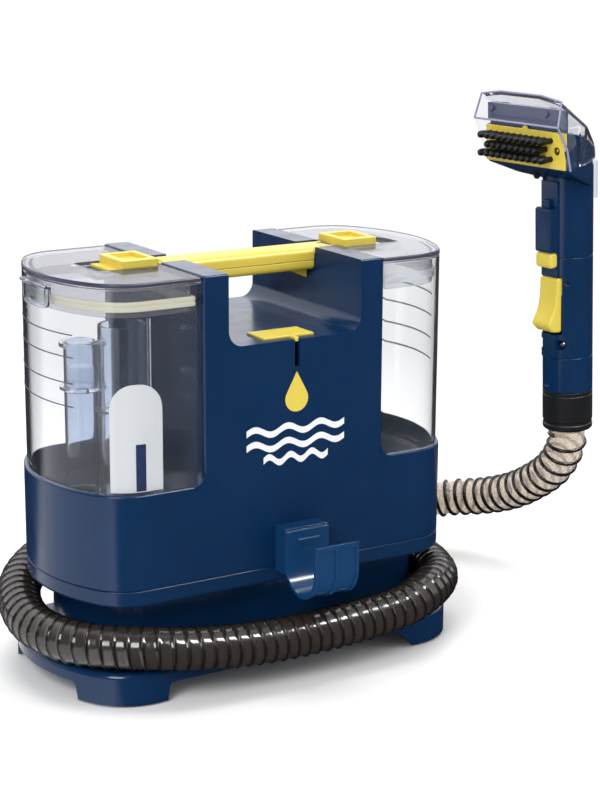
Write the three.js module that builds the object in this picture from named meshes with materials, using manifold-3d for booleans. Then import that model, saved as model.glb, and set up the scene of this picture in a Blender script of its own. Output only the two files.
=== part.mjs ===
// Portable spot cleaner: a navy machine with two clear lift-off tanks, a carrying handle, a suction
// hose that wraps round its base, and a hand tool with a brush head. Millimetres, +Z up. The machine
// is built round its tower's centre on the floor, with its long axis on X and its front towards -Y.
import * as THREE from "three";
import { mergeVertices } from "three/addons/utils/BufferGeometryUtils.js";
import { ConvexGeometry } from "three/addons/geometries/ConvexGeometry.js";
import Module from "manifold-3d";

// ---------------------------------------------------------------- driving dimensions
const HEIGHT = 324; // tower top above the floor
const HALF_DEPTH = 83.5; // centre to the flat front face
const BODY_LEFT = 179.4; // tower centre to the left end of the lower body
const BODY_RIGHT = 166.8;
const END_RADIUS = 125; // bulged ends seen from above
const CORNER_RADIUS = 41;
const TANK_INSET = 2.5; // how far the tanks stand inside the body's outline
const TOWER_HALF = 80; // half the tower's width
const NOTCH_HALF = 59; // half the hand opening's width
const NOTCH_FLOOR = 268;
const NOTCH_RADIUS = 12;
const RIM = 164; // lower body's rim, where the tanks emerge
const WELL_FLOOR = 140; // the tanks' seats
const SEAM = 89.5; // joint between housing and lower pan
const BODY_BOTTOM = 76;
const TRAY_TOP = 27;
const TRAY_BOTTOM = 16;
const TRAY_LEFT = 188.5;
const TRAY_RIGHT = 174;
const TRAY_HALF_DEPTH = 92;
const FOOT_BOTTOM = 1.5;
const COLUMN_LEFT = 160;
const COLUMN_RIGHT = 146;
const COLUMN_HALF_DEPTH = 62;
const WALL = 3; // moulded wall of the opaque casings
const TANK_WALL = 2.5;
const GAP = 0.3; // clearance between touching pieces
const LID_TOP = 323;
const LID_UNDER = 318.3;
const HANDLE_HALF_DEPTH = 15;
const HOSE_RADIUS = 17.3;
const HOSE_BORE = 14.8;
const HOSE_LEVEL = 45; // hose centre above the floor where it is wrapped round the base
const WAND_RADIUS = 21.4;
const WELD = 1e-3;

// ---------------------------------------------------------------- materials
const plastic = (color, roughness) => new THREE.MeshStandardMaterial({ color, roughness, metalness: 0 });
const metal = (color, roughness) => new THREE.MeshStandardMaterial({ color, roughness, metalness: 1 });
const clear = (color, opacity) =>
  new THREE.MeshStandardMaterial({ color, roughness: 0.08, metalness: 0, transparent: true, opacity });
const navy = plastic(0x18345f, 0.3);
const darkNavy = plastic(0x101d38, 0.45);
const yellow = plastic(0xe2cd46, 0.35);
const rubber = plastic(0x15161a, 0.8);
const cuffBlack = plastic(0x121315, 0.5);
const cream = plastic(0xd9d6c4, 0.6);
const smoke = clear(0xaeb4c4, 0.35);
const frost = clear(0xdfe4ee, 0.4);
const hoseFilm = clear(0x4a4440, 0.75);
const steel = metal(0xb9bcc2, 0.35);
const brass = metal(0xb8a060, 0.4);
const copper = metal(0xa8643a, 0.4);
const board = plastic(0x1f5b36, 0.5);

// ---------------------------------------------------------------- solids: joins and cuts
const wasm = await Module();
wasm.setup();

function asSolid(shape) {
  if (!shape.isBufferGeometry) return shape;
  const bare = shape.index ? shape.toNonIndexed() : shape.clone();
  bare.deleteAttribute("normal");
  bare.deleteAttribute("uv");
  const merged = mergeVertices(bare, WELD);
  const vertProperties = merged.attributes.position.array;
  return new wasm.Manifold(
    new wasm.Mesh({ numProp: 3, vertProperties, triVerts: new Uint32Array(merged.index.array) }),
  );
}
const join = (first, ...rest) => rest.reduce((sum, next) => sum.add(asSolid(next)), asSolid(first));
const cut = (first, ...rest) => rest.reduce((left, next) => left.subtract(asSolid(next)), asSolid(first));
const common = (first, second) => asSolid(first).intersect(asSolid(second));

function asGeometry(shape) {
  if (shape.isBufferGeometry) return shape;
  const mesh = shape.getMesh();
  const geometry = new THREE.BufferGeometry();
  geometry.setAttribute("position", new THREE.BufferAttribute(mesh.vertProperties, 3));
  geometry.setIndex(new THREE.BufferAttribute(mesh.triVerts, 1));
  return geometry;
}

function piece(parent, name, shape, material) {
  const mesh = new THREE.Mesh(asGeometry(shape), material);
  mesh.name = name;
  parent.add(mesh);
  return mesh;
}

// ---------------------------------------------------------------- basic shapes
function block(x0, x1, y0, y1, z0, z1) {
  const geometry = new THREE.BoxGeometry(x1 - x0, y1 - y0, z1 - z0);
  return geometry.translate((x0 + x1) / 2, (y0 + y1) / 2, (z0 + z1) / 2);
}

// A span measured out from the centre, laid on the negative or the positive side.
const onSide = (side, near, far) => (side < 0 ? [-far, -near] : [near, far]);

// A shape with its arcs cut into straight steps and repeated points left out.
function stepped(shape, arcSteps) {
  const points = shape.getPoints(arcSteps);
  const last = points.length - 1;
  const kept = points.filter((p, i) => p.distanceTo(points[i === last ? 0 : i + 1]) > 10 * WELD);
  return new THREE.Shape(kept);
}

function extrude(shape, depth, arcSteps) {
  return new THREE.ExtrudeGeometry(stepped(shape, arcSteps), { depth, bevelEnabled: false });
}

const slab = (shape, z0, z1, arcSteps = 3) => extrude(shape, z1 - z0, arcSteps).translate(0, 0, z0);

const alongX = new THREE.Matrix4().makeBasis(
  new THREE.Vector3(0, 1, 0),
  new THREE.Vector3(0, 0, 1),
  new THREE.Vector3(1, 0, 0),
);
const alongY = new THREE.Matrix4().makeBasis(
  new THREE.Vector3(1, 0, 0),
  new THREE.Vector3(0, 0, 1),
  new THREE.Vector3(0, -1, 0),
);
// A section drawn in Y and Z, run along X; and one drawn in X and Z, run along Y.
const prismX = (shape, x0, x1, arcSteps = 3) =>
  extrude(shape, x1 - x0, arcSteps).applyMatrix4(alongX).translate(x0, 0, 0);
const prismY = (shape, y0, y1, arcSteps = 3) =>
  extrude(shape, y1 - y0, arcSteps).applyMatrix4(alongY).translate(0, y1, 0);

function roundedRect(x0, x1, y0, y1, r) {
  const shape = new THREE.Shape();
  const quarter = Math.PI / 2;
  shape.absarc(x1 - r, y0 + r, r, -quarter, 0, false);
  shape.absarc(x1 - r, y1 - r, r, 0, quarter, false);
  shape.absarc(x0 + r, y1 - r, r, quarter, 2 * quarter, false);
  shape.absarc(x0 + r, y0 + r, r, 2 * quarter, 3 * quarter, false);
  shape.closePath();
  return shape;
}

function polygon(...pairs) {
  return new THREE.Shape(pairs.map(([x, y]) => new THREE.Vector2(x, y)));
}

// A turned piece on a vertical axis: pairs of radius and height, closed on itself or on the axis.
function turned(x, y, pairs, sides = 16) {
  const profile = pairs.map(([r, z]) => new THREE.Vector2(r, z));
  return new THREE.LatheGeometry(profile, sides).rotateX(Math.PI / 2).translate(x, y, 0);
}
function pipe(x, y, inner, outer, z0, z1, sides = 16) {
  return turned(x, y, [[inner, z0], [outer, z0], [outer, z1], [inner, z1], [inner, z0]], sides);
}
const disc = (x, y, r, z0, z1, sides = 16) => turned(x, y, [[0, z0], [r, z0], [r, z1], [0, z1]], sides);

// A round bar between two points.
function rod(from, to, radius, sides = 10) {
  const start = new THREE.Vector3(...from);
  const end = new THREE.Vector3(...to);
  const run = new THREE.Vector3().subVectors(end, start);
  const bar = new THREE.CylinderGeometry(radius, radius, run.length(), sides);
  const up = new THREE.Vector3(0, 1, 0);
  const turn = new THREE.Quaternion().setFromUnitVectors(up, run.clone().normalize());
  const middle = start.add(end).multiplyScalar(0.5);
  return bar.applyQuaternion(turn).translate(middle.x, middle.y, middle.z);
}

// The machine's plan: a flat front and back, round corners and bulged ends, all offset alike.
function plan(left, right, halfDepth, endRadius, cornerRadius, inset = 0) {
  const shape = new THREE.Shape();
  const rise = halfDepth - cornerRadius;
  const reach = Math.sqrt((endRadius - cornerRadius) ** 2 - rise ** 2);
  const swing = Math.atan2(rise, reach);
  const [end, corner] = [endRadius - inset, cornerRadius - inset];
  const [rightMid, leftMid] = [right - endRadius, endRadius - left];
  const quarter = Math.PI / 2;
  shape.absarc(rightMid + reach, -rise, corner, -quarter, -swing, false);
  shape.absarc(rightMid, 0, end, -swing, swing, false);
  shape.absarc(rightMid + reach, rise, corner, swing, quarter, false);
  shape.absarc(leftMid - reach, rise, corner, quarter, 2 * quarter - swing, false);
  shape.absarc(leftMid, 0, end, 2 * quarter - swing, 2 * quarter + swing, false);
  shape.absarc(leftMid - reach, -rise, corner, 2 * quarter + swing, 3 * quarter, false);
  shape.closePath();
  return shape;
}
const bodyPlan = (inset) => plan(BODY_LEFT, BODY_RIGHT, HALF_DEPTH, END_RADIUS, CORNER_RADIUS, inset);
const tankPlan = (inset) => bodyPlan(TANK_INSET + inset);
const columnPlan = (inset) => plan(COLUMN_LEFT, COLUMN_RIGHT, COLUMN_HALF_DEPTH, 95, 30, inset);

const machine = new THREE.Group();
const hose = new THREE.Group();
const FAR = 250; // half size of the blocks that trim a shape on one side

// ---------------------------------------------------------------- base: tray, feet and column
const HOSE_PORT = { x0: -14, x1: 29.7, y: 83, radius: 17.4 };
const padPlaces = [[-150, -67], [-150, 67], [134, -67], [134, 67]];
const PAD_RADIUS = 10;

const trayPlan = (inset) => plan(TRAY_LEFT, TRAY_RIGHT, TRAY_HALF_DEPTH, END_RADIUS + 8, 48, inset);

function makeBase() {
  const shell = cut(
    slab(trayPlan(0), FOOT_BOTTOM, TRAY_TOP, 4),
    slab(trayPlan(WALL), FOOT_BOTTOM - 1, TRAY_TOP - WALL),
  );
  const bosses = padPlaces.map(([x, y]) => disc(x, y, PAD_RADIUS + 3, FOOT_BOTTOM, TRAY_TOP - 1, 12));
  // Cutouts leave one foot at each corner; the long ones flare towards the floor on the right.
  const front = polygon([-118.5, -1], [-115.5, TRAY_BOTTOM], [94, TRAY_BOTTOM], [110, -1]);
  const ends = polygon([-56, -1], [-53, TRAY_BOTTOM], [53, TRAY_BOTTOM], [56, -1]);
  const column = slab(columnPlan(0), TRAY_TOP - 1, BODY_BOTTOM - GAP);
  const inside = slab(columnPlan(WALL), TRAY_TOP + 0.5, BODY_BOTTOM + 1);
  const portHole = rod([HOSE_PORT.x0 + 14, 50, HOSE_LEVEL], [HOSE_PORT.x0 + 14, 70, HOSE_LEVEL], 12.9, 12);
  const outside = cut(join(shell, column, ...bosses), prismY(front, -FAR, FAR), prismX(ends, -FAR, FAR));
  return cut(outside, inside, portHole);
}
piece(machine, "base_stand", makeBase(), navy);
padPlaces.forEach(([x, y], i) => {
  piece(machine, "rubber_foot_" + (i + 1), disc(x, y, PAD_RADIUS, 0, FOOT_BOTTOM - GAP, 12), rubber);
});

// The socket the hose plugs into: an elbow on the back of the column, facing right.
function makeHosePort() {
  const { x0, x1, y, radius } = HOSE_PORT;
  const barrel = rod([x0, y, HOSE_LEVEL], [x1, y, HOSE_LEVEL], radius, 16);
  const stub = rod([x0 + 14, 56, HOSE_LEVEL], [x0 + 14, y, HOSE_LEVEL], 12, 12);
  const bore = rod([x0 + 4, y, HOSE_LEVEL], [x1 + 1, y, HOSE_LEVEL], HOSE_BORE, 16);
  const inlet = rod([x0 + 14, 52, HOSE_LEVEL], [x0 + 14, y, HOSE_LEVEL], 9.5, 12);
  return cut(join(barrel, stub), bore, inlet);
}
piece(machine, "hose_port", makeHosePort(), darkNavy);

// ---------------------------------------------------------------- lower pan
const INTAKE = { x: -120, y: -30, radius: 19.5, bore: 17 };
const OUTLET = { x: -135, y: 14, radius: 13, bore: 11 };
const VALVE = { x: 118, y: 0, radius: 7 };
const CABLE_PORT = { y: 30, z: 112 };

function makePan() {
  const shell = cut(
    slab(bodyPlan(0), BODY_BOTTOM, SEAM - GAP),
    slab(bodyPlan(WALL), BODY_BOTTOM + WALL, SEAM),
  );
  return cut(shell, disc(INTAKE.x, INTAKE.y, 10, BODY_BOTTOM - 1, SEAM, 14));
}
piece(machine, "lower_pan", makePan(), navy);

// ---------------------------------------------------------------- main housing
const HANDLE = { bottom: 305.5, split: 313.4, top: 323.4, plate: 318.9 };
const BUTTON = { x0: -23.5, x1: 21.5, y0: -74.5, y1: -48.5 };
const SLOT = { x0: -1.2, x1: 3.2, z0: 247 };
const REAR = { half: 50, z0: 112, z1: 236 };
const LATCH = { inner: 84, outer: 115, half: 19.5, z0: 319.6, z1: 328.5, travel: 12, shelf: 8 };

// The web that rounds a tank window's lower inner corner, between the tower and the rim.
const FILLET = 9;
function filletAt(side) {
  const inside = side * (TOWER_HALF - 1);
  const edge = side * (TOWER_HALF + FILLET);
  const shape = new THREE.Shape();
  shape.moveTo(inside, RIM - 1);
  shape.lineTo(edge, RIM - 1);
  shape.lineTo(edge, RIM);
  shape.absarc(edge, RIM + FILLET, FILLET, -Math.PI / 2, side > 0 ? -Math.PI : 0, side > 0);
  shape.lineTo(inside, RIM + FILLET);
  shape.closePath();
  return shape;
}

function makeHousing() {
  const lower = slab(bodyPlan(0), SEAM, RIM, 4);
  const towerPlan = roundedRect(-TOWER_HALF, TOWER_HALF, -HALF_DEPTH, HALF_DEPTH, 2.5);
  const tower = slab(towerPlan, SEAM + 9, HEIGHT, 2);
  const webs = [-1, 1].flatMap((side) => [
    prismY(filletAt(side), -HALF_DEPTH, -HALF_DEPTH + TANK_INSET - GAP),
    prismY(filletAt(side), HALF_DEPTH - TANK_INSET + GAP, HALF_DEPTH),
  ]);
  const well = slab(bodyPlan(WALL), WELL_FLOOR, RIM + 1, 4);
  const wells = [
    common(well, block(-FAR, -TOWER_HALF, -FAR, FAR, 0, FAR)),
    common(well, block(TOWER_HALF, FAR, -FAR, FAR, 0, FAR)),
  ];
  const underside = slab(bodyPlan(WALL), SEAM - 1, WELL_FLOOR - WALL);
  const shaft = block(-TOWER_HALF + 4, TOWER_HALF - 4, -HALF_DEPTH + WALL, HALF_DEPTH - WALL, SEAM, 262);
  const pillars = [-1, 1].map((side) => {
    const [x0, x1] = onSide(side, NOTCH_HALF + 3.5, TOWER_HALF - 4);
    return block(x0, x1, -HALF_DEPTH + WALL, HALF_DEPTH - WALL, 261, HANDLE.plate - GAP - WALL);
  });
  const notch = roundedRect(-NOTCH_HALF, NOTCH_HALF, NOTCH_FLOOR, HEIGHT + 40, NOTCH_RADIUS);
  const buttonWell = block(BUTTON.x0 - GAP, BUTTON.x1 + GAP, BUTTON.y0 - GAP, BUTTON.y1 + GAP, 255, 275);
  const slot = block(SLOT.x0, SLOT.x1, -HALF_DEPTH - 1, BUTTON.y0, SLOT.z0, NOTCH_FLOOR + 1);
  const rear = block(-REAR.half, REAR.half, HALF_DEPTH - WALL - 1, HALF_DEPTH + 1, REAR.z0, REAR.z1);
  const seats = [-1, 1].map((side) => {
    const [x0, x1] = onSide(side, NOTCH_HALF - 1, TOWER_HALF + 1);
    const half = HANDLE_HALF_DEPTH + GAP;
    return block(x0, x1, -half, half, HANDLE.plate - GAP, HEIGHT + 1);
  });
  return cut(
    join(lower, tower, ...webs),
    ...wells,
    underside,
    shaft,
    ...pillars,
    prismY(notch, -FAR, FAR, 4),
    buttonWell,
    slot,
    rear,
    ...seats,
    disc(INTAKE.x, INTAKE.y, 13, 130, 150, 14),
    disc(OUTLET.x, OUTLET.y, OUTLET.bore, 130, 150, 14),
    disc(VALVE.x, VALVE.y, VALVE.radius, 130, 150, 12),
    rod([95, HALF_DEPTH - 8, CABLE_PORT.z], [95, HALF_DEPTH + 5, CABLE_PORT.z], 6.3, 12),
  );
}
piece(machine, "main_housing", makeHousing(), navy);

// Back cover with louvres for the motor's air, and its screws.
function makeRearCover() {
  const panel = block(
    -REAR.half + GAP, REAR.half - GAP,
    HALF_DEPTH - 2.6, HALF_DEPTH,
    REAR.z0 + GAP, REAR.z1 - GAP,
  );
  const louvres = [];
  for (let z = 150; z <= 200; z += 10) {
    louvres.push(block(-34, 34, HALF_DEPTH - 5, HALF_DEPTH + 1, z, z + 4));
  }
  return cut(panel, ...louvres);
}
piece(machine, "rear_cover", makeRearCover(), navy);
[[-42, 120], [42, 120], [-42, 228], [42, 228]].forEach(([x, z], i) => {
  const head = rod([x, HALF_DEPTH + GAP, z], [x, HALF_DEPTH + 1.8, z], 3.6, 10);
  piece(machine, "rear_screw_" + (i + 1), head, steel);
});
const glandFrom = [95, HALF_DEPTH - 5, CABLE_PORT.z];
const glandBody = join(
  rod(glandFrom, [95, HALF_DEPTH + 2, CABLE_PORT.z], 6, 12),
  rod([95, HALF_DEPTH + GAP, CABLE_PORT.z], [95, HALF_DEPTH + 8, CABLE_PORT.z], 8.5, 12),
);
const glandBore = rod([95, HALF_DEPTH - 6, CABLE_PORT.z], [95, HALF_DEPTH + 9, CABLE_PORT.z], 3.5, 10);
piece(machine, "cord_gland", cut(glandBody, glandBore), rubber);

// ---------------------------------------------------------------- carrying handle
// Its upper half runs on over both pillars, with a slot at each end that keeps a latch's tongue.
const handleSpan = NOTCH_HALF - GAP;
function makeHandleUpper() {
  const h = HANDLE_HALF_DEPTH;
  const section = new THREE.Shape();
  section.moveTo(-h, HANDLE.split + GAP);
  section.lineTo(h, HANDLE.split + GAP);
  section.absarc(h - 5, HANDLE.top - 5, 5, 0, Math.PI / 2, false);
  section.absarc(-h + 5, HANDLE.top - 5, 5, Math.PI / 2, Math.PI, false);
  section.closePath();
  const reach = TOWER_HALF - GAP;
  const underPlates = [-1, 1].map((side) => {
    const [x0, x1] = onSide(side, handleSpan, FAR);
    return block(x0, x1, -FAR, FAR, 0, HANDLE.plate);
  });
  const keepers = [-1, 1].map((side) => {
    const [x0, x1] = onSide(side, TOWER_HALF - 6.5, FAR);
    return block(x0, x1, -8.6, 8.6, 0, HEIGHT + 1);
  });
  return cut(prismX(section, -reach, reach), ...underPlates, ...keepers);
}
function makeHandleLower() {
  const h = HANDLE_HALF_DEPTH;
  const section = new THREE.Shape();
  section.absarc(-h + 5, HANDLE.bottom + 5, 5, Math.PI, 1.5 * Math.PI, false);
  section.absarc(h - 5, HANDLE.bottom + 5, 5, -Math.PI / 2, 0, false);
  section.lineTo(h, HANDLE.split);
  section.lineTo(-h, HANDLE.split);
  section.closePath();
  const gusset = (side) =>
    polygon([side * handleSpan, HANDLE.bottom + 1], [side * (handleSpan - 20), HANDLE.bottom + 1],
      [side * handleSpan, HANDLE.bottom - 8]);
  const gussets = [-1, 1].map((side) => prismY(gusset(side), -4, 4));
  return join(prismX(section, -handleSpan, handleSpan), ...gussets);
}
piece(machine, "handle_upper", makeHandleUpper(), yellow);
piece(machine, "handle_lower", makeHandleLower(), yellow);

// ---------------------------------------------------------------- power button and its switch
function makePowerButton() {
  const { x0, x1, y0, y1 } = BUTTON;
  const [under, top] = [NOTCH_FLOOR - 2, NOTCH_FLOOR + 1.6];
  const cap = block(x0, x1, y0, y1, under, top);
  const stem = block(-6, 4, -66, -56, 250.3, NOTCH_FLOOR - 1);
  const tongue = block(SLOT.x0 + GAP, SLOT.x1 - GAP, -HALF_DEPTH + 1.2, y0 + 1, under, top);
  return join(cap, stem, tongue);
}
piece(machine, "power_button", makePowerButton(), yellow);
piece(machine, "power_switch", block(-13, 11, -74, -48, 222, 246), cuffBlack);

// ---------------------------------------------------------------- clip that stores the hand tool
const CLIP = { x0: -18.5, x1: 20.5, back: -97, middle: -120, radius: 23, wall: 3, top: 121 };
function makeToolClip() {
  const { x0, x1, back, middle, radius, wall, top } = CLIP;
  const centreHeight = 97;
  const section = new THREE.Shape();
  section.moveTo(middle - radius, top - 1);
  section.absarc(middle, centreHeight, radius, Math.PI, 2 * Math.PI, false);
  section.lineTo(middle + radius, top);
  section.lineTo(middle + radius - wall, top);
  section.absarc(middle, centreHeight, radius - wall, 2 * Math.PI, Math.PI, true);
  section.lineTo(middle - radius + wall, top - 1);
  section.closePath();
  const spine = block(x0, x1, back - 1, -HALF_DEPTH - GAP, 86, top + 2);
  const trough = prismX(section, x0, x1, 6);
  const boss = block(-8, 12, back - 4.2, back - 2, 108, 114);
  return join(spine, trough, boss);
}
piece(machine, "tool_clip", makeToolClip(), navy);

// ---------------------------------------------------------------- tanks
// One tank's share of an outline: everything beyond the tower on that side.
function half(side, shape, z0, z1, clearance, arcSteps = 3) {
  const [x0, x1] = onSide(side, TOWER_HALF + clearance, FAR);
  return common(slab(shape, z0, z1, arcSteps), block(x0, x1, -FAR, FAR, 0, 2 * FAR));
}
const TANK_UNDER = 142.3;
const TANK_FLOOR = TANK_UNDER + TANK_WALL;
const TANK_TOP = 318;
const seatInset = WALL - TANK_INSET + GAP;

function makeTank(side, holes) {
  const outer = join(
    half(side, tankPlan(seatInset), TANK_UNDER, RIM + 2, GAP),
    half(side, tankPlan(0), RIM + GAP, TANK_TOP, GAP),
  );
  const inner = half(side, tankPlan(seatInset + TANK_WALL), TANK_FLOOR, TANK_TOP + 1, GAP + TANK_WALL);
  // The window's lower inner corner is rounded in the housing, so the tank is relieved there.
  const relief = [-1, 1].map((face) => {
    const [y0, y1] = onSide(face, HALF_DEPTH - TANK_INSET - GAP, HALF_DEPTH + 1);
    const [x0, x1] = onSide(side, TOWER_HALF, TOWER_HALF + FILLET + 1);
    return block(x0, x1, y0, y1, RIM, RIM + FILLET + 1);
  });
  return cut(outer, inner, ...relief, ...holes);
}

// The lid's top is let in for the latch; the inner slot lets the latch's tongue reach the tower.
function makeLid(side) {
  const plate = half(side, tankPlan(0), LID_UNDER, LID_TOP, GAP);
  const skirt = cut(
    half(side, tankPlan(5.6), 297, LID_UNDER + 1, GAP + 6),
    half(side, tankPlan(7.8), 296, LID_UNDER, GAP + 8.2),
  );
  const [px0, px1] = onSide(side, 83.4, LATCH.outer + LATCH.shelf + LATCH.travel + 3);
  const thick = block(px0, px1, -LATCH.half - 4, LATCH.half + 4, 314, LID_TOP);
  const [sx0, sx1] = onSide(side, LATCH.inner - 1, LATCH.outer + LATCH.shelf + LATCH.travel + 1);
  const slot = block(sx0, sx1, -LATCH.half - 0.6, LATCH.half + 0.6, LATCH.z0 - GAP, LID_TOP + 1);
  const [tx0, tx1] = onSide(side, TOWER_HALF - 1, LATCH.inner);
  const tongueSlot = block(tx0, tx1, -9, 9, LATCH.z0 - GAP, LID_TOP + 1);
  const parts = [plate, skirt, thick];
  if (side < 0) {
    for (const y of [-1, 1]) {
      const [y0, y1] = onSide(y, 19.8, 23);
      parts.push(block(-BODY_LEFT - 1.2, -BODY_LEFT + 6, y0, y1, LID_UNDER, LID_TOP - 1));
    }
  }
  return cut(join(...parts), slot, tongueSlot);
}

function makeGasket(side) {
  const band = half(side, tankPlan(3.6), 301, 309, GAP + TANK_WALL + GAP);
  return cut(band, half(side, tankPlan(5.2), 300, 310, GAP + 5.6));
}

// Square raised frame that slides in the lid; its tongue holds to the tower.
function makeLatch(side) {
  const [fx0, fx1] = onSide(side, LATCH.inner, LATCH.outer);
  const frame = block(fx0, fx1, -LATCH.half, LATCH.half, LATCH.z0, LATCH.z1);
  const [sx0, sx1] = onSide(side, LATCH.inner, LATCH.outer + LATCH.shelf);
  const shelf = block(sx0, sx1, -LATCH.half, LATCH.half, LATCH.z0, LATCH.z0 + 2);
  const [tx0, tx1] = onSide(side, TOWER_HALF - 5.5, LATCH.inner + 1);
  const tongue = block(tx0, tx1, -8, 8, LATCH.z0, LATCH.z0 + 2.6);
  const [rx0, rx1] = onSide(side, LATCH.inner + 5, LATCH.outer - 5);
  const recess = block(rx0, rx1, -LATCH.half + 6, LATCH.half - 6, LATCH.z1 - 3, LATCH.z1 + 1);
  const middle = side * (LATCH.inner + LATCH.outer) / 2;
  const dot = disc(middle, 0, 2, LATCH.z1 - 6, LATCH.z1, 10);
  return cut(join(frame, shelf, tongue), recess, dot);
}

// ---- dirty water tank, left
const portHoles = [
  disc(INTAKE.x, INTAKE.y, 12.5, 130, 150, 14),
  disc(OUTLET.x, OUTLET.y, OUTLET.bore - 0.5, 130, 150, 14),
];
piece(machine, "dirty_tank", makeTank(-1, portHoles), smoke);
piece(machine, "dirty_lid", makeLid(-1), smoke);
piece(machine, "dirty_gasket", makeGasket(-1), cream);
piece(machine, "dirty_latch", makeLatch(-1), yellow);
piece(
  machine,
  "intake_tube",
  join(
    pipe(INTAKE.x, INTAKE.y, INTAKE.bore, INTAKE.radius, TANK_FLOOR + GAP, 283),
    pipe(INTAKE.x, INTAKE.y, INTAKE.bore, INTAKE.radius + 3, 215, 218),
  ),
  smoke,
);
piece(
  machine,
  "outlet_tube",
  join(
    pipe(OUTLET.x, OUTLET.y, OUTLET.bore, OUTLET.radius, TANK_FLOOR + GAP, 264),
    pipe(OUTLET.x, OUTLET.y, OUTLET.bore, OUTLET.radius + 3.5, 226, 228.5),
    pipe(OUTLET.x, OUTLET.y, OUTLET.bore, OUTLET.radius + 3.5, 260, 263),
    pipe(OUTLET.x, OUTLET.y, 5, OUTLET.bore + 1, 224, 227.7, 14),
  ),
  smoke,
);
// Float that shuts the air outlet when the tank is full; it rides inside the outlet tube.
piece(machine, "float_valve", disc(OUTLET.x, OUTLET.y, OUTLET.bore - 0.6, 228, 244, 14), cream);
const SEAL = [WELL_FLOOR + GAP, TANK_UNDER - GAP];
piece(machine, "intake_seal", pipe(INTAKE.x, INTAKE.y, 13, 16, ...SEAL, 14), rubber);
piece(machine, "outlet_seal", pipe(OUTLET.x, OUTLET.y, 11, 14, ...SEAL, 14), rubber);

// Pull-up clip on the tank's end that holds the lid down.
const CLIP_PIVOT = { x: -BODY_LEFT + 0.8, z: 315 };
function makeLidClip() {
  const ring = cut(
    half(-1, tankPlan(-3.1), 296, CLIP_PIVOT.z, 20),
    half(-1, tankPlan(-0.5), 290, 330, 20),
  );
  const plate = common(ring, block(-FAR, 0, -19, 19, 296, 330));
  return join(plate, rod([CLIP_PIVOT.x, -19, CLIP_PIVOT.z], [CLIP_PIVOT.x, 19, CLIP_PIVOT.z], 1.5, 10));
}
piece(machine, "dirty_lid_clip", makeLidClip(), smoke);

// ---- clean water tank, right
piece(machine, "clean_tank", makeTank(1, [disc(VALVE.x, VALVE.y, 5, 130, 150, 12)]), frost);
piece(machine, "clean_lid", makeLid(1), frost);
piece(machine, "clean_gasket", makeGasket(1), cream);
piece(machine, "clean_latch", makeLatch(1), yellow);
// Valve that opens when the tank is seated: a plunger with a disc that lifts off the tank's floor.
const valvePlunger = join(
  disc(VALVE.x, VALVE.y, 8, TANK_FLOOR + GAP, TANK_FLOOR + 4, 12),
  disc(VALVE.x, VALVE.y, 3.4, 136, TANK_FLOOR + 1, 12),
);
piece(machine, "clean_valve", valvePlunger, cuffBlack);

// ---------------------------------------------------------------- inside the machine
// Suction motor: a can, with the fan above it in its own scroll, on the tower's centre line.
const MOTOR = { x: 10, y: 8, radius: 36 };
const can = [[0, 105], [MOTOR.radius, 105], [MOTOR.radius, 160], [31, 160], [31, 109], [0, 109]];
piece(machine, "motor", turned(MOTOR.x, MOTOR.y, can, 20), steel);
const rotor = join(
  disc(MOTOR.x, MOTOR.y, 22, 114, 156, 16),
  disc(MOTOR.x, MOTOR.y, 4, 110, 168, 10),
);
piece(machine, "motor_rotor", rotor, copper);
function makeFan() {
  const plate = disc(MOTOR.x, MOTOR.y, 46, 172, 174, 24);
  const hub = disc(MOTOR.x, MOTOR.y, 9, 168.4, 190, 12);
  const blades = [];
  const count = 8;
  for (let i = 0; i < count; i++) {
    const blade = block(8, 45, -1, 1, 173.5, 187).rotateZ((i * 2 * Math.PI) / count);
    blades.push(blade.translate(MOTOR.x, MOTOR.y, 0));
  }
  return join(plate, hub, ...blades);
}
piece(machine, "fan", makeFan(), cream);
const scroll = [[49, 169], [53, 169], [53, 196], [15, 196], [15, 192], [49, 192], [49, 169]];
piece(machine, "fan_cover", turned(MOTOR.x, MOTOR.y, scroll, 20), darkNavy);

// Air passages: hose socket to the dirty tank, and the tank's outlet to the fan.
const intakeDuct = join(
  pipe(INTAKE.x, INTAKE.y, 10, 12.5, BODY_BOTTOM + WALL + GAP, WELL_FLOOR - GAP, 14),
  pipe(INTAKE.x, INTAKE.y, 10, 15.5, 134.5, WELL_FLOOR - WALL - GAP, 14),
);
piece(machine, "intake_duct", intakeDuct, darkNavy);
piece(machine, "outlet_duct", pipe(OUTLET.x, OUTLET.y, 8.5, OUTLET.bore + 3, 112, 136.6, 14), darkNavy);

// Water side: pump, control board and the feed tube from the valve.
const pumpBody = join(
  block(100, 140, -58, -28, 88, 122),
  rod([120, -28.5, 105], [120, -16, 105], 9, 12),
);
piece(machine, "water_pump", pumpBody, cuffBlack);
piece(machine, "control_board", block(-60, 40, 56, 58, 100, 150), board);

// ---------------------------------------------------------------- suction hose
// Centre line from the socket, round the right end, the front and the left end, along the floor
// behind the machine, and up in an arc to the hand tool.
const HOSE_ROUTE = [
  [30, 83, 46], [66, 83.5, 46], [104, 83, 46], [139, 73, 46], [161, 43, 46], [170, 0, 46],
  [162, -42, 46], [149, -67, 46], [130, -84, 45.6], [112, -94.5, 44.8], [92, -101, 42],
  [45, -104.5, 39], [-10, -105.5, 37.6], [-60, -104.5, 39.4], [-103, -99.5, 42.8], [-127, -92, 45.3],
  [-149, -77, 45.6], [-175, -48, 45.6], [-187, -5, 47], [-181, 38, 52], [-162, 75, 58], [-129, 104, 63],
  [-88, 122, 57], [-40, 129, 42], [10, 131, 28], [60, 131, 21], [110, 131, 22],
  [160, 130, 29], [205, 126, 39], [243, 114, 47], [274, 92, 54], [292, 59, 62], [299, 25, 75],
  [302, -4, 92], [303.4, -25, 109], [303.8, -38, 128], [303, -42.3, 142], [302.6, -42.3, 148.4],
];
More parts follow.
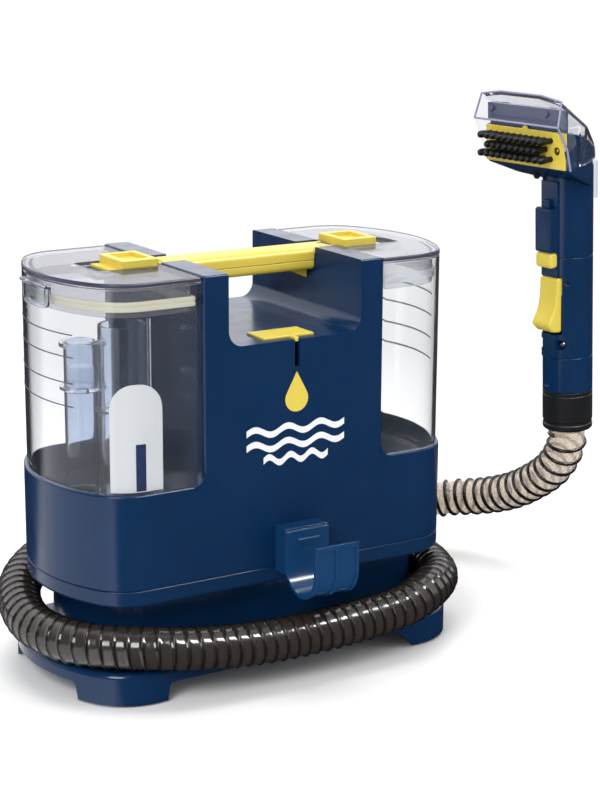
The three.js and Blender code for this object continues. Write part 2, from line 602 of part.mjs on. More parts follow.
const HOSE_SPLIT = 0.53; // share of the length that lies round the base
const hosePath = new THREE.CatmullRomCurve3(
  HOSE_ROUTE.map((p) => new THREE.Vector3(...p)),
  false,
  "centripetal",
);

// One stretch of the hose's centre line, by its share of the whole length.
class Stretch extends THREE.Curve {
  constructor(whole, from, to) {
    super();
    Object.assign(this, { whole, from, to });
  }
  getPoint(t, target = new THREE.Vector3()) {
    return this.whole.getPointAt(this.from + (this.to - this.from) * t, target);
  }
}
function makeHose(from, to, steps) {
  const section = new THREE.Shape();
  section.absarc(0, 0, HOSE_RADIUS, 0, 2 * Math.PI, false);
  const bore = new THREE.Path();
  bore.absarc(0, 0, HOSE_BORE, 0, 2 * Math.PI, true);
  section.holes.push(bore);
  const extrudePath = new Stretch(hosePath, from, to);
  return new THREE.ExtrudeGeometry(section, { steps, extrudePath, curveSegments: 4 });
}
const hoseGap = (1.2 * GAP) / hosePath.getLength();
piece(hose, "hose_wrapped", makeHose(0, HOSE_SPLIT, 26), hoseFilm);
piece(hose, "hose_free", makeHose(HOSE_SPLIT + hoseGap, 1, 24), hoseFilm);

// ---------------------------------------------------------------- hand tool
// Its own frame: x out of the front of the tool, y across it, z up the wand from the cuff's end.
const TOOL_AT = [302.6, -42.3, 149.3];
const TOOL_TURN = Math.PI + 0.1;
const TOOL_LEAN = (2.8 * Math.PI) / 180;
const tool = new THREE.Group();
const hoseEnd = new THREE.Group();
for (const frame of [tool, hoseEnd]) {
  frame.position.set(...TOOL_AT);
  frame.rotation.set(0, TOOL_LEAN, TOOL_TURN, "ZYX");
}
machine.add(tool);
hose.add(hoseEnd);

const AIR = { x: -5.5, radius: 13 }; // the wand's air passage
const airway = (z0, z1) => disc(AIR.x, 0, AIR.radius, z0, z1, 16);
const COLLAR = [30.3, 60.7];
const GRIP = [61, 153.3];
const NECK = 153.6;
const TRIGGER_PIVOT = { x: 15.5, z: 131 };

const cuffProfile = [
  [HOSE_BORE, GAP], [20.6, GAP], [21.6, 2], [21.6, 5], [20.9, 6], [20.9, 8], [21.6, 9], [21.6, 30],
  [HOSE_BORE, 30], [HOSE_BORE, GAP],
];
piece(hoseEnd, "hose_cuff", turned(0, 0, cuffProfile, 24), cuffBlack);
piece(tool, "wand_collar", cut(disc(0, 0, WAND_RADIUS, ...COLLAR, 24), airway(0, 100)), navy);

// A bar along the trigger's pivot, the given half length long.
function pivotBar(halfLength, radius, sides = 8) {
  const { x, z } = TRIGGER_PIVOT;
  return rod([x, -halfLength, z], [x, halfLength, z], radius, sides);
}

function makeGrip() {
  const pocket = block(9.6, 30, -8.6, 8.6, 84, 137);
  const pinHole = pivotBar(30, 1.8);
  const screwWell = rod([14, 10, 78], [30, 10, 78], 3.4, 10);
  return cut(disc(0, 0, WAND_RADIUS, ...GRIP, 24), airway(0, 200), pocket, pinHole, screwWell);
}
piece(tool, "wand_grip", makeGrip(), navy);

function makeTrigger() {
  const outline = new THREE.Shape();
  outline.moveTo(TRIGGER_PIVOT.x - 2.5, 135.5);
  outline.lineTo(20.5, 136.3);
  outline.quadraticCurveTo(22.8, 136, 23, 133);
  outline.quadraticCurveTo(23.6, 116, 31.5, 101);
  outline.quadraticCurveTo(33, 96.5, 30.2, 93);
  outline.lineTo(27, 90.4);
  outline.lineTo(17.2, 88.8);
  outline.lineTo(16.8, 120);
  outline.lineTo(13, 127);
  outline.closePath();
  const body = prismY(outline, -8, 8, 4);
  const springGap = block(9, 19.6, -3.6, 3.6, 126, 140);
  return cut(body, springGap, pivotBar(9, 1.8));
}
piece(tool, "trigger", makeTrigger(), yellow);
piece(tool, "trigger_pin", pivotBar(14.2, 1.5), steel);
piece(tool, "trigger_spring", cut(pivotBar(3.2, 3.2, 12), pivotBar(4, 1.9)), steel);
piece(tool, "spray_valve", block(9.9, 11.8, -5, 5, 92, 112), cuffBlack);

// Head: neck, wedge that widens to the brush, and the dark panel behind the suction mouth.
function headWedge(grow) {
  const g = grow;
  const corners = [
    [47.5 + g, 47.5 + g, 233.5 - g], [47.5 + g, 47.5 + g, 266 + g],
    [22, 39 + g, 222 - g], [22, 40 + g, 260 + g],
    [-8 - g, 21 + g, 212 - g], [-8 - g, 21 + g, 246 + g],
    [-19 - g, 9 + g, 212 - g], [-19 - g, 9 + g, 238 + g],
  ];
  const points = corners.flatMap(([x, y, z]) => [new THREE.Vector3(x, y, z), new THREE.Vector3(x, -y, z)]);
  return new ConvexGeometry(points);
}
function makeHead() {
  const neck = disc(0, 0, WAND_RADIUS, NECK, 230, 24);
  const panel = join(block(44, 47.4, -44, 44, 262, 283.5), block(46, 50.3, -44, 44, 269, 283.5));
  const studs = [-38, 26].map((y) => rod([50, y, 279], [52.5, y, 279], 2.6, 10));
  const housing = block(10, 30, -8, 8, 158.5, 196.5);
  const shank = block(20.4, 27.4, -5.6, 5.6, NECK - 1, 190);
  const nub = block(18, 25.5, -3.5, 3.5, 196, 203);
  const duct = block(-14, 12, -11, 11, 225, 270);
  return cut(
    join(neck, headWedge(0), panel, ...studs, housing, nub),
    airway(150, 240),
    common(duct, disc(AIR.x, 0, AIR.radius, 220, 275, 16)),
    shank,
  );
}
piece(tool, "head_body", makeHead(), navy);

// Button that lets the head go: its shank slides in the boss on the neck.
const releaseCap = block(20, 29.6, -7.8, 7.8, 145.2, 158.2);
const releaseShank = block(20.8, 27, -5.2, 5.2, 157, 180);
const wandClearance = disc(0, 0, WAND_RADIUS + GAP, 140, 160, 24);
piece(tool, "release_button", cut(join(releaseCap, releaseShank), wandClearance), yellow);

// Brush: a yellow plate with three rows of bristle tufts on a thin strip.
const BRUSH = { x: 47.8, front: 50, half: 46.5, z0: 235, z1: 265 };
const bump = rod([BRUSH.x, 0, BRUSH.z1], [BRUSH.front, 0, BRUSH.z1], 3, 10);
const plate = block(BRUSH.x, BRUSH.front, -BRUSH.half, BRUSH.half, BRUSH.z0, BRUSH.z1);
piece(tool, "brush_plate", cut(join(plate, bump), rod([40, 37.5, 250], [60, 37.5, 250], 3.4, 10)), yellow);
function makeBristles() {
  const strip = block(BRUSH.front + GAP, BRUSH.front + 1.2, -42, 33, 240, 261);
  const tufts = [];
  const rows = [
    { z: 258, count: 11, from: -40 },
    { z: 250.5, count: 9, from: -32 },
    { z: 243, count: 11, from: -40 },
  ];
  for (const { z, count, from } of rows) {
    for (let i = 0; i < count; i++) {
      const y = from + i * 7.1;
      tufts.push(rod([BRUSH.front + 1, y, z], [64.5, y, z], 2.4, 6));
    }
  }
  return join(strip, ...tufts);
}
piece(tool, "bristles", makeBristles(), rubber);
const screwHead = rod([45, 37.5, 250], [51, 37.5, 250], 2.9, 10);
piece(tool, "head_screw", cut(screwHead, block(30, 47.9, 30, 45, 240, 260)), brass);

// Clear hood over the head: it forms the suction mouth above the brush.
function hoodShell(g) {
  const corners = [
    [60, 50, 270], [57, 48, 288], [50, 50.5, 252], [56, 24, 291.5], [46, 50, 233.5],
    [20, 42, 268], [22, 42, 226], [-6, 24, 250], [-8, 24, 236], [-20, 12, 240], [-20, 12, 232],
  ];
  const wall = 1.9 * g;
  const points = corners.flatMap(([x, y, z]) => {
    const out = x > 40 ? x + 2.5 * g : x + 1.6 * g;
    const level = z > 245 ? z - wall : z + wall;
    return [1, -1].map((side) => new THREE.Vector3(out, side * (y - wall), level));
  });
  return new ConvexGeometry(points);
}
function makeHood() {
  const mouthCut = block(30, 80, -47, 47, 200, 268.5);
  const below = block(-60, 80, -60, 60, 200, 236);
  const panelRoom = block(44, 51.2, -44.6, 44.6, 255, 284);
  const studRooms = [-38, 26].map((y) => block(44, 54, y - 4, y + 4, 274, 284));
  return cut(hoodShell(0), hoodShell(1), headWedge(0.4), mouthCut, below, panelRoom, ...studRooms);
}
piece(tool, "suction_hood", makeHood(), smoke);

// Spring clip of the hood behind the wand, the spray nozzle, the wand's screw.
piece(tool, "hood_clip", block(-24.4, -22.2, -11, 11, 199, 231), smoke);
piece(tool, "spray_nozzle", rod([35, 0, 224.5], [42, 0, 217.5], 4, 10), cuffBlack);
piece(tool, "wand_screw", rod([14.3, 10, 78], [16.5, 10, 78], 2.8, 10), steel);

// ---------------------------------------------------------------- the whole part
// The origin is the middle of the underside of everything but the hose.
const extent = new THREE.Box3().setFromObject(machine, true);
const centre = extent.getCenter(new THREE.Vector3());
machine.position.set(-centre.x, -centre.y, 0);
hose.position.copy(machine.position);
const group = new THREE.Group();
group.add(machine, hose);

export default group;
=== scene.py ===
"""Looks of a portable spot cleaner, made round its CAD frame.

Shapes are drawn in millimetres, in the machine's own frame (X along it, -Y its front, Z up, the
origin on the floor under its tower's middle) or in the hand tool's, and then set in the frame.
"""

import math

import bmesh
import bpy
from mathutils import Matrix, Vector


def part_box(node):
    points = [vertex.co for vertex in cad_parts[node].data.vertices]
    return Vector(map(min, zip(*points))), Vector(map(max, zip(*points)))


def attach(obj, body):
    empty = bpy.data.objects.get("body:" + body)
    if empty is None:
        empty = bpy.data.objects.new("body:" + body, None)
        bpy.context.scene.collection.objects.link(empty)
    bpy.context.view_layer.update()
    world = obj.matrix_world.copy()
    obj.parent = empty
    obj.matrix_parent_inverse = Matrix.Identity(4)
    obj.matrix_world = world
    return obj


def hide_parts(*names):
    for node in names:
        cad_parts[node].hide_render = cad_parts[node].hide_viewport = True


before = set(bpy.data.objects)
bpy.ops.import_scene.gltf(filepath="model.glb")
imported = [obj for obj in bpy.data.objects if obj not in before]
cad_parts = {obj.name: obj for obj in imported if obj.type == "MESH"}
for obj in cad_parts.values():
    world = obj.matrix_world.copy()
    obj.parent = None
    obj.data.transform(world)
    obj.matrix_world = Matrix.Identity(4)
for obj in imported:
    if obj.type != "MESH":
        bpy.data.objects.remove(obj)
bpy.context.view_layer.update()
scene = bpy.context.scene

# ---------------------------------------------------------------- driving dimensions, as in the CAD
HEIGHT = 324
HALF_DEPTH = 83.5
BODY = (179.4, 166.8, HALF_DEPTH, 125, 41)  # left, right, half depth, end radius, corner radius
TRAY = (188.5, 174, 92, 133, 48)
COLUMN = (160, 146, 62, 95, 30)
TANK_INSET = 2.5
TOWER_HALF = 80
NOTCH_HALF = 59
NOTCH_FLOOR = 268
RIM = 164
WELL_FLOOR = 140
WELL_HOLE = (130, 150)  # heights between which the ports' holes are cut
SEAM = 89.5
PAN_BOTTOM = 76
WALL = 3
TANK_WALL = 2.5
GAP = 0.3
LID = (318.3, 323)
TANK_FLOOR = 144.8
FRONT = -HALF_DEPTH
WAND = 21.4
FAR = 250
INTAKE = (-120, -30)
OUTLET = (-135, 14)
VALVE = (118, 0)
TANK_END = {-1: (-54.4, 122.5), 1: (41.8, 122.5)}  # centre in X and radius of each tank's end wall

housing_low, housing_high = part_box("main_housing")
MACHINE = (
    Matrix.Translation((housing_low.x + BODY[0] / 1000, (housing_low.y + housing_high.y) / 2, 0))
    @ Matrix.Scale(0.001, 4)
)
TOOL = (
    MACHINE
    @ Matrix.Translation((302.6, -42.3, 149.3))
    @ Matrix.Rotation(math.pi + 0.1, 4, "Z")
    @ Matrix.Rotation(math.radians(2.8), 4, "Y")
)

# ---------------------------------------------------------------- camera
EYE = Vector((-781.57, -1353.29, 594.13))
AZIMUTH, ELEVATION, ROLL = (math.radians(a) for a in (-31.7275, 14.0734, 0.299))


def place_camera():
    back = Vector((
        math.sin(AZIMUTH) * math.cos(ELEVATION),
        -math.cos(AZIMUTH) * math.cos(ELEVATION),
        math.sin(ELEVATION),
    ))
    level = Vector((math.cos(AZIMUTH), math.sin(AZIMUTH), 0))
    upright = back.cross(level)
    right = level * math.cos(ROLL) + upright * math.sin(ROLL)
    up = upright * math.cos(ROLL) - level * math.sin(ROLL)
    camera = bpy.data.objects.new("camera", bpy.data.cameras.new("camera"))
    camera.data.lens = 90.14
    camera.data.clip_end = 60
    camera.matrix_world = Matrix.Translation(MACHINE @ EYE) @ Matrix((right, up, back)).transposed().to_4x4()
    scene.collection.objects.link(camera)
    scene.camera = camera


place_camera()


# ---------------------------------------------------------------- node graphs
def linear(red, green, blue):
    """A display colour, 0 to 255, as the shader's linear colour."""
    def one(value):
        value /= 255
        return value / 12.92 if value <= 0.04045 else ((value + 0.055) / 1.055) ** 2.4
    return (one(red), one(green), one(blue), 1.0)


def shaded(colour, factor):
    return tuple(min(1.0, c * factor) for c in colour[:3]) + (1.0,)


def new_material(name):
    material = bpy.data.materials.new(name)
    material.use_nodes = True
    material.node_tree.nodes.clear()
    return material, material.node_tree


def node(tree, kind, inputs, **settings):
    made = tree.nodes.new("ShaderNode" + kind)
    for key, value in settings.items():
        setattr(made, key, value)
    for key, value in inputs.items():
        if isinstance(value, bpy.types.NodeSocket):
            tree.links.new(value, made.inputs[key])
        else:
            made.inputs[key].default_value = value
    return made


def surface(tree, shader):
    output = tree.nodes.new("ShaderNodeOutputMaterial")
    tree.links.new(shader, output.inputs["Surface"])


def ramp(tree, value, *stops):
    """Blends between colours along a value; each stop is a place and a colour."""
    made = node(tree, "ValToRGB", {"Fac": value})
    elements = made.color_ramp.elements
    while len(elements) < len(stops):
        elements.new(0.5)
    for element, (place, colour) in zip(elements, stops):
        element.position = place
        element.color = colour
    return made.outputs["Color"]


def noise(tree, place, scale, detail=2.0):
    return node(tree, "TexNoise", {"Vector": place, "Scale": scale, "Detail": detail}).outputs["Fac"]


def spread(tree, value, low, high):
    """A noise value's middle range, mapped to a range of its own."""
    inputs = {"Value": value, "From Min": 0.3, "From Max": 0.7, "To Min": low, "To Max": high}
    return node(tree, "MapRange", inputs).outputs["Result"]


# ---------------------------------------------------------------- materials
def moulded(name, colour, roughness, specular=0.5, grain=0.04, grain_scale=1500.0, mottle=0.06, metallic=0.0):
    """Moulded plastic, rubber or metal: a slightly uneven colour and gloss over a fine grain."""
    material, tree = new_material(name)
    place = node(tree, "TexCoord", {}).outputs["Object"]
    colours = ramp(
        tree,
        noise(tree, place, 16.0, 3.0),
        (0.3, shaded(colour, 1 - mottle)),
        (0.7, shaded(colour, 1 + mottle)),
    )
    gloss = spread(tree, noise(tree, place, 60.0, 6.0), roughness - 0.04, roughness + 0.06)
    bump = node(tree, "Bump", {
        "Strength": grain,
        "Distance": 0.0002,
        "Height": noise(tree, place, grain_scale, 4.0),
    })
    shader = node(tree, "BsdfPrincipled", {
        "Base Color": colours,
        "Roughness": gloss,
        "Metallic": metallic,
        "Specular IOR Level": specular,
        "Normal": bump.outputs["Normal"],
    })
    surface(tree, shader.outputs["BSDF"])
    return material


def clear(name, tint, edge, bend=1.08, haze=0.008, roughness=0.03, coat=0.6):
    """Clear moulded plastic: painted shade darkens its colour where it is seen edge on, standing in for the
    dark outlines that clear edges show; glossy outside, with faint flow marks.
    It lets the lamps' light through."""
    material, tree = new_material(name)
    place = node(tree, "TexCoord", {}).outputs["Object"]
    facing = node(tree, "LayerWeight", {"Blend": 0.5}).outputs["Facing"]
    # Painted shade: the colour turns to the darker edge colour where the surface is seen edge on.
    rim = node(tree, "MapRange", {"Value": facing, "From Min": 0.78, "From Max": 1.0}).outputs["Result"]
    middle = ramp(tree, noise(tree, place, 9.0), (0.3, shaded(tint, 0.98)), (0.7, tint))
    ripple = node(tree, "Bump", {
        "Strength": 0.04,
        "Distance": 0.0006,
        "Height": noise(tree, place, 28.0, 1.0),
    })
    body = node(tree, "BsdfPrincipled", {
        "Base Color": node(tree, "MixRGB", {"Fac": rim, "Color1": middle, "Color2": edge}).outputs["Color"],
        "Roughness": spread(tree, noise(tree, place, 30.0, 4.0), roughness, roughness + 0.02),
        "IOR": bend,
        "Transmission Weight": 1 - haze,
        "Coat Weight": coat,
        "Coat Roughness": 0.04,
        "Normal": ripple.outputs["Normal"],
        "Coat Normal": ripple.outputs["Normal"],
    })
    through = node(tree, "BsdfTransparent", {"Color": shaded(tint, 0.85)})
    shadow_ray = node(tree, "LightPath", {}).outputs["Is Shadow Ray"]
    mixed = node(tree, "MixShader", {0: shadow_ray, 1: body.outputs["BSDF"], 2: through.outputs["BSDF"]})
    surface(tree, mixed.outputs["Shader"])
    return material


def film():
    """The hose's film: clear and pale where it runs free; where it lies wound up, painted dark bronze and
    near opaque, partly painted shade for the dark base seen through it and the shade it lies in, partly dirt
    inside, and darker still next to the wire's turns.
    """
    material, tree = new_material("hose_film")
    place = node(tree, "TexCoord", {}).outputs["Object"]
    packed = node(tree, "Attribute", {}, attribute_name="packed").outputs["Fac"]
    rib = node(tree, "Attribute", {}, attribute_name="rib").outputs["Fac"]
    streak = noise(tree, place, 500.0, 3.0)
    # Painted shade and dirt: the wound hose's dark tone, darker still next to the wire.
    wound_dirt_and_shade = ramp(tree, rib, (0.0, linear(52, 46, 42)), (0.4, linear(24, 21, 20)))
    sand = ramp(tree, streak, (0.35, linear(216, 200, 185)), (0.65, linear(246, 237, 227)))
    colour = node(tree, "MixRGB", {"Fac": packed, "Color1": sand, "Color2": wound_dirt_and_shade}).outputs["Color"]
    gloss = spread(tree, noise(tree, place, 90.0, 4.0), 0.13, 0.22)
    bump = node(tree, "Bump", {"Strength": 0.12, "Distance": 0.0004, "Height": streak}).outputs["Normal"]
    skin = node(tree, "BsdfPrincipled", {
        "Base Color": colour,
        "Roughness": gloss,
        "Specular IOR Level": 0.8,
        "Normal": bump,
    })
    through = node(tree, "BsdfTransparent", {"Color": linear(250, 246, 240)})
    # The wound hose's painted shade is also near opaque, so the base behind does not show through it.
    cover = node(tree, "MapRange", {"Value": packed, "To Min": 0.34, "To Max": 0.9}).outputs["Result"]
    mixed = node(tree, "MixShader", {0: cover, 1: through.outputs["BSDF"], 2: skin.outputs["BSDF"]})
    surface(tree, mixed.outputs["Shader"])
    return material


NAVY = moulded("navy_plastic", linear(8, 41, 76), 0.2, specular=0.42)
NAVY_PRINT = moulded("navy_print", linear(22, 40, 78), 0.35, specular=0.3)
YELLOW = moulded("yellow_plastic", linear(216, 194, 74), 0.34, mottle=0.03, grain_scale=1100.0)
BLACK = moulded("black_plastic", linear(20, 21, 24), 0.42, grain=0.12, grain_scale=900.0)
RUBBER = moulded("rubber", linear(22, 23, 25), 0.75, specular=0.3, grain=0.2, grain_scale=700.0)
CREAM_RUBBER = moulded("gasket_rubber", linear(190, 186, 164), 0.55, mottle=0.05)
CREAM = moulded("cream_plastic", linear(222, 219, 204), 0.4)
WHITE = moulded("white_print", linear(226, 227, 229), 0.4, mottle=0.015)
LABEL_WHITE = moulded("label_white", linear(192, 194, 196), 0.5, specular=0.3, mottle=0.015)
GREY = moulded("grey_print", linear(70, 72, 82), 0.45)
DARK_NAVY = moulded("dark_plastic", linear(14, 26, 54), 0.4, grain=0.1, grain_scale=900.0)
STEEL = moulded("steel", linear(186, 189, 195), 0.28, metallic=1.0)
BRASS = moulded("brass", linear(190, 166, 96), 0.3, metallic=1.0)
COPPER = moulded("copper_windings", linear(184, 112, 70), 0.35, grain=0.4, grain_scale=400.0, metallic=1.0)
BOARD = moulded("circuit_board", linear(31, 91, 54), 0.4, mottle=0.2)
NYLON = moulded("bristle_nylon", linear(15, 16, 20), 0.45, grain=0.3, grain_scale=1200.0)
WIRE = moulded("hose_wire", linear(24, 20, 19), 0.25)
SLATE = moulded("slate_panel", linear(74, 78, 104), 0.22)
# Painted shade: a dark colour for places that only lie in shade or show a dark optical line, the lid slot's
# floor and the lid's upper edge.
PAINTED_SHADE = moulded("slot_shade", linear(52, 56, 76), 0.35)
# Painted light: a lighter copy of the navy, standing in for the light that the clip's curved trough catches.
LIT_CLIP_NAVY = moulded("clip_navy_lit", linear(17, 57, 98), 0.18)
# Painted reflection: the light lines that the clear hood's edges show.
LILAC_EDGE_SHEEN = moulded("lilac_edge_sheen", linear(140, 141, 170), 0.2)
RIDGE = moulded("level_ridge", linear(176, 178, 186), 0.3)
# Each clear material's second colour is the painted shade it turns to where it is seen edge on.
SMOKE = clear("smoke_clear", (0.93, 0.937, 0.955, 1), (0.5, 0.52, 0.6, 1))
SMOKE_LID = clear("smoke_lid", (0.65, 0.65, 0.69, 1), (0.2, 0.21, 0.27, 1), haze=0.06, coat=0.25)
SMOKE_CLIP = clear("smoke_clip", (0.74, 0.77, 0.85, 1), (0.2, 0.23, 0.34, 1), bend=1.2)
SMOKE_TUBE = clear("smoke_tube", (0.7, 0.76, 0.86, 1), (0.35, 0.4, 0.5, 1), bend=1.2, roughness=0.06)
FROST = clear("frost_clear", (0.975, 0.98, 0.985, 1), (0.6, 0.62, 0.68, 1), roughness=0.05)
FROST_LID = clear("frost_lid", (0.72, 0.72, 0.75, 1), (0.28, 0.29, 0.36, 1), haze=0.08, coat=0.25)
MILKY = clear("milky_clear", (0.9, 0.92, 0.95, 1), (0.6, 0.64, 0.7, 1), haze=0.1, roughness=0.25)
HOOD = clear("hood_clear", (0.94, 0.94, 0.97, 1), (0.38, 0.38, 0.5, 1), bend=1.12)
FILM = film()


# ---------------------------------------------------------------- outlines, in the plane
def arc(x, y, radius, start, end, steps):
    """Points along an arc, with both its ends; the angles are in degrees."""
    angles = (math.radians(start + (end - start) * i / steps) for i in range(steps + 1))
    return [(x + radius * math.cos(a), y + radius * math.sin(a)) for a in angles]


def plan(shape, inset=0.0, steps=8):
    """The machine's plan: a flat front and back, round corners and bulged ends, all offset alike."""
    left, right, half, end_radius, corner_radius = shape
    rise = half - corner_radius
    reach = math.sqrt((end_radius - corner_radius) ** 2 - rise ** 2)
    swing = math.degrees(math.atan2(rise, reach))
    end, corner = end_radius - inset, corner_radius - inset
    right_mid, left_mid = right - end_radius, end_radius - left
    return (
        arc(right_mid + reach, -rise, corner, -90, -swing, steps)
        + arc(right_mid, 0, end, -swing, swing, 2 * steps)[1:]
        + arc(right_mid + reach, rise, corner, swing, 90, steps)[1:]
        + arc(left_mid - reach, rise, corner, 90, 180 - swing, steps)
        + arc(left_mid, 0, end, 180 - swing, 180 + swing, 2 * steps)[1:]
        + arc(left_mid - reach, -rise, corner, 180 + swing, 270, steps)[1:]
    )


def half_plan(side, inset, edge, steps=8):
    """One tank's share of the plan: all that lies beyond edge on that side, with small inner corners."""
    inset += TANK_INSET
    half, small = HALF_DEPTH - inset, 1.5
    whole = plan(BODY, inset, steps)
    if side > 0:
        start = arc(edge + small, small - half, small, 180, 270, 3)
        return start + whole[: len(whole) // 2] + arc(edge + small, half - small, small, 90, 180, 3)
    start = arc(-edge - small, half - small, small, 0, 90, 3)
    return start + whole[len(whole) // 2:] + arc(-edge - small, small - half, small, 270, 360, 3)


def rounded_rect(x0, x1, y0, y1, radius, steps=5):
    return (
        arc(x1 - radius, y0 + radius, radius, -90, 0, steps)
        + arc(x1 - radius, y1 - radius, radius, 0, 90, steps)
        + arc(x0 + radius, y1 - radius, radius, 90, 180, steps)
        + arc(x0 + radius, y0 + radius, radius, 180, 270, steps)
    )


def on_side(side, near, far):
    """A span measured out from the centre, laid on the negative or the positive side."""
    return (-far, -near) if side < 0 else (near, far)


# ---------------------------------------------------------------- solids
def shape_from(bm):
    bmesh.ops.recalc_face_normals(bm, faces=bm.faces)
    mesh = bpy.data.meshes.new("shape")
    bm.to_mesh(mesh)
    bm.free()
    shape = bpy.data.objects.new("shape", mesh)
    scene.collection.objects.link(shape)
    return shape


def loft(rings, closed=False):
    """A solid through rings of as many points each: capped at both ends, or closed round on itself."""
    bm = bmesh.new()
    made = [[bm.verts.new(p) for p in ring] for ring in rings]
    pairs = list(zip(made, made[1:]))
    if closed:
        pairs.append((made[-1], made[0]))
    for low, high in pairs:
        for i in range(len(low)):
            j = (i + 1) % len(low)
            bm.faces.new((low[i], low[j], high[j], high[i]))
    if not closed:
        bm.faces.new(made[0])
        bm.faces.new(made[-1])
    return shape_from(bm)


def levels(z0, z1, low=0.0, high=0.0, steps=5):
    """Insets and heights up a slab's side, with its lower and upper edges rounded."""
    made = []
    for i in range(steps + 1 if low else 1):
        a = math.pi / 2 * i / steps if low else 0
        made.append((low * (1 - math.sin(a)), z0 + low * (1 - math.cos(a))))
    for i in range(steps + 1 if high else 1):
        a = math.pi / 2 * i / steps if high else 0
        made.append((high * (1 - math.cos(a)), z1 - high + high * math.sin(a)))
    return made


def slab(outline, z0, z1, low=0.0, high=0.0):
    """outline is a function of the inset; the slab stands on z0."""
    return loft([[(x, y, z) for x, y in outline(inset)] for inset, z in levels(z0, z1, low, high)])


def prism(points, axis, start, end):
    """A section run along an axis: drawn in Y and Z along X, in X and Z along Y, in X and Y along Z."""
    place = {
        "x": lambda u, v, w: (w, u, v),
        "y": lambda u, v, w: (u, w, v),
        "z": lambda u, v, w: (u, v, w),
    }[axis]
    return loft([[place(u, v, w) for u, v in points] for w in (start, end)])


def box(x0, x1, y0, y1, z0, z1, radius=0.0, segments=3):
    bm = bmesh.new()
    bmesh.ops.create_cube(bm, size=1)
    for vert in bm.verts:
        x, y, z = vert.co
        vert.co = (
            x0 + (x + 0.5) * (x1 - x0),
            y0 + (y + 0.5) * (y1 - y0),
            z0 + (z + 0.5) * (z1 - z0),
        )
    if radius:
        bmesh.ops.bevel(bm, geom=bm.edges, offset=radius, segments=segments, profile=0.5, affect="EDGES")
    return shape_from(bm)


def hull(points):
    bm = bmesh.new()
    for point in points:
        bm.verts.new(point)
    bmesh.ops.convex_hull(bm, input=bm.verts)
    bmesh.ops.dissolve_limit(bm, angle_limit=0.01, verts=bm.verts, edges=bm.edges)
    return shape_from(bm)


def turned(x, y, profile, sides=48, closed=True):
    """A profile of radius and height, turned on an upright axis; closed for a ring, or ending on it."""
    rings = []
    for i in range(sides):
        a = 2 * math.pi * i / sides
        rings.append([(x + r * math.cos(a), y + r * math.sin(a), z) for r, z in profile])
    bm = bmesh.new()
    made = [[bm.verts.new(p) for p in ring] for ring in rings]
    count = len(profile)
    for i in range(sides):
        low, high = made[i], made[(i + 1) % sides]
        for j in range(count if closed else count - 1):
            k = (j + 1) % count
            bm.faces.new((low[j], high[j], high[k], low[k]))
    bmesh.ops.remove_doubles(bm, verts=bm.verts, dist=1e-4)
    bmesh.ops.dissolve_degenerate(bm, edges=bm.edges, dist=1e-4)
    return shape_from(bm)


def eased(corners, radius, steps=4):
    """A closed profile of straight lines with its corners rounded."""
    made = []
    for i, corner in enumerate(corners):
        here = Vector(corner)
        before, after = Vector(corners[i - 1]), Vector(corners[(i + 1) % len(corners)])
        r = min(radius, 0.45 * (before - here).length, 0.45 * (after - here).length)
        start, end = here + (before - here).normalized() * r, here + (after - here).normalized() * r
        for k in range(steps + 1):
            t = k / steps
            point = start * (1 - t) ** 2 + here * 2 * t * (1 - t) + end * t ** 2
            made.append((point.x, point.y))
    return made


def disc(x, y, radius, z0, z1, ease=0.3, sides=48):
    rounded = eased([(0, z0), (radius, z0), (radius, z1), (0, z1)], ease)
    return turned(x, y, [(0, z0)] + [p for p in rounded if p[0] > ease] + [(0, z1)], sides, closed=False)


def moved(shape, matrix):
    shape.data.transform(matrix)
    return shape


def rod(start, end, radius, sides=32, ease=0.2):
    """A round bar between two points."""
    start, end = Vector(start), Vector(end)
    run = end - start
    bar = disc(0, 0, radius, 0, run.length, ease, sides)
    return moved(bar, Matrix.Translation(start) @ run.to_track_quat("Z", "Y").to_matrix().to_4x4())


def settle(shape):
    """Turns a shape's modifiers into its mesh."""
    graph = bpy.context.evaluated_depsgraph_get()
    mesh = bpy.data.meshes.new_from_object(
        shape.evaluated_get(graph), preserve_all_data_layers=True, depsgraph=graph
    )
    shape.modifiers.clear()
    old = shape.data
    shape.data = mesh
    bpy.data.meshes.remove(old)
    return shape


def combined(operation, shape, others):
    for other in others:
        modifier = shape.modifiers.new("combine", "BOOLEAN")
        modifier.operation = operation
        modifier.solver = "EXACT"
        modifier.object = other
        settle(shape)
        bpy.data.objects.remove(other)
    bm = bmesh.new()
    bm.from_mesh(shape.data)
    bmesh.ops.remove_doubles(bm, verts=bm.verts, dist=0.01)
    bmesh.ops.dissolve_limit(bm, angle_limit=0.005, verts=bm.verts, edges=bm.edges)
    bm.to_mesh(shape.data)
    bm.free()
    return shape


def join(shape, *others):
    return combined("UNION", shape, others)


def cut(shape, *others):
    return combined("DIFFERENCE", shape, others)


def bevelled(shape, width, angle=40, segments=3):
    modifier = shape.modifiers.new("bevel", "BEVEL")
    modifier.width = width
    modifier.segments = segments
    modifier.limit_method = "ANGLE"
    modifier.angle_limit = math.radians(angle)
    modifier.use_clamp_overlap = True
    modifier.miter_outer = "MITER_ARC"
    return settle(shape)


def piece(name, shape, body, material, place=MACHINE, nodes=None, sharp=42):
    """Sets a finished shape in the frame on its body, in place of the CAD nodes that it stands for:
    those given, or else the one of its own name."""
    if nodes is None:
        nodes = (name,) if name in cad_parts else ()
    mesh = shape.data
    mesh.transform(place)
    mesh.polygons.foreach_set("use_smooth", [True] * len(mesh.polygons))
    mesh.set_sharp_from_angle(angle=math.radians(sharp))
    weighted = shape.modifiers.new("weighted", "WEIGHTED_NORMAL")
    weighted.keep_sharp = True
    settle(shape)
    shape.name = name
    shape.data.name = name
    shape.data.materials.clear()
    shape.data.materials.append(material)
    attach(shape, body)
    if nodes:
        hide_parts(*nodes)
    return shape


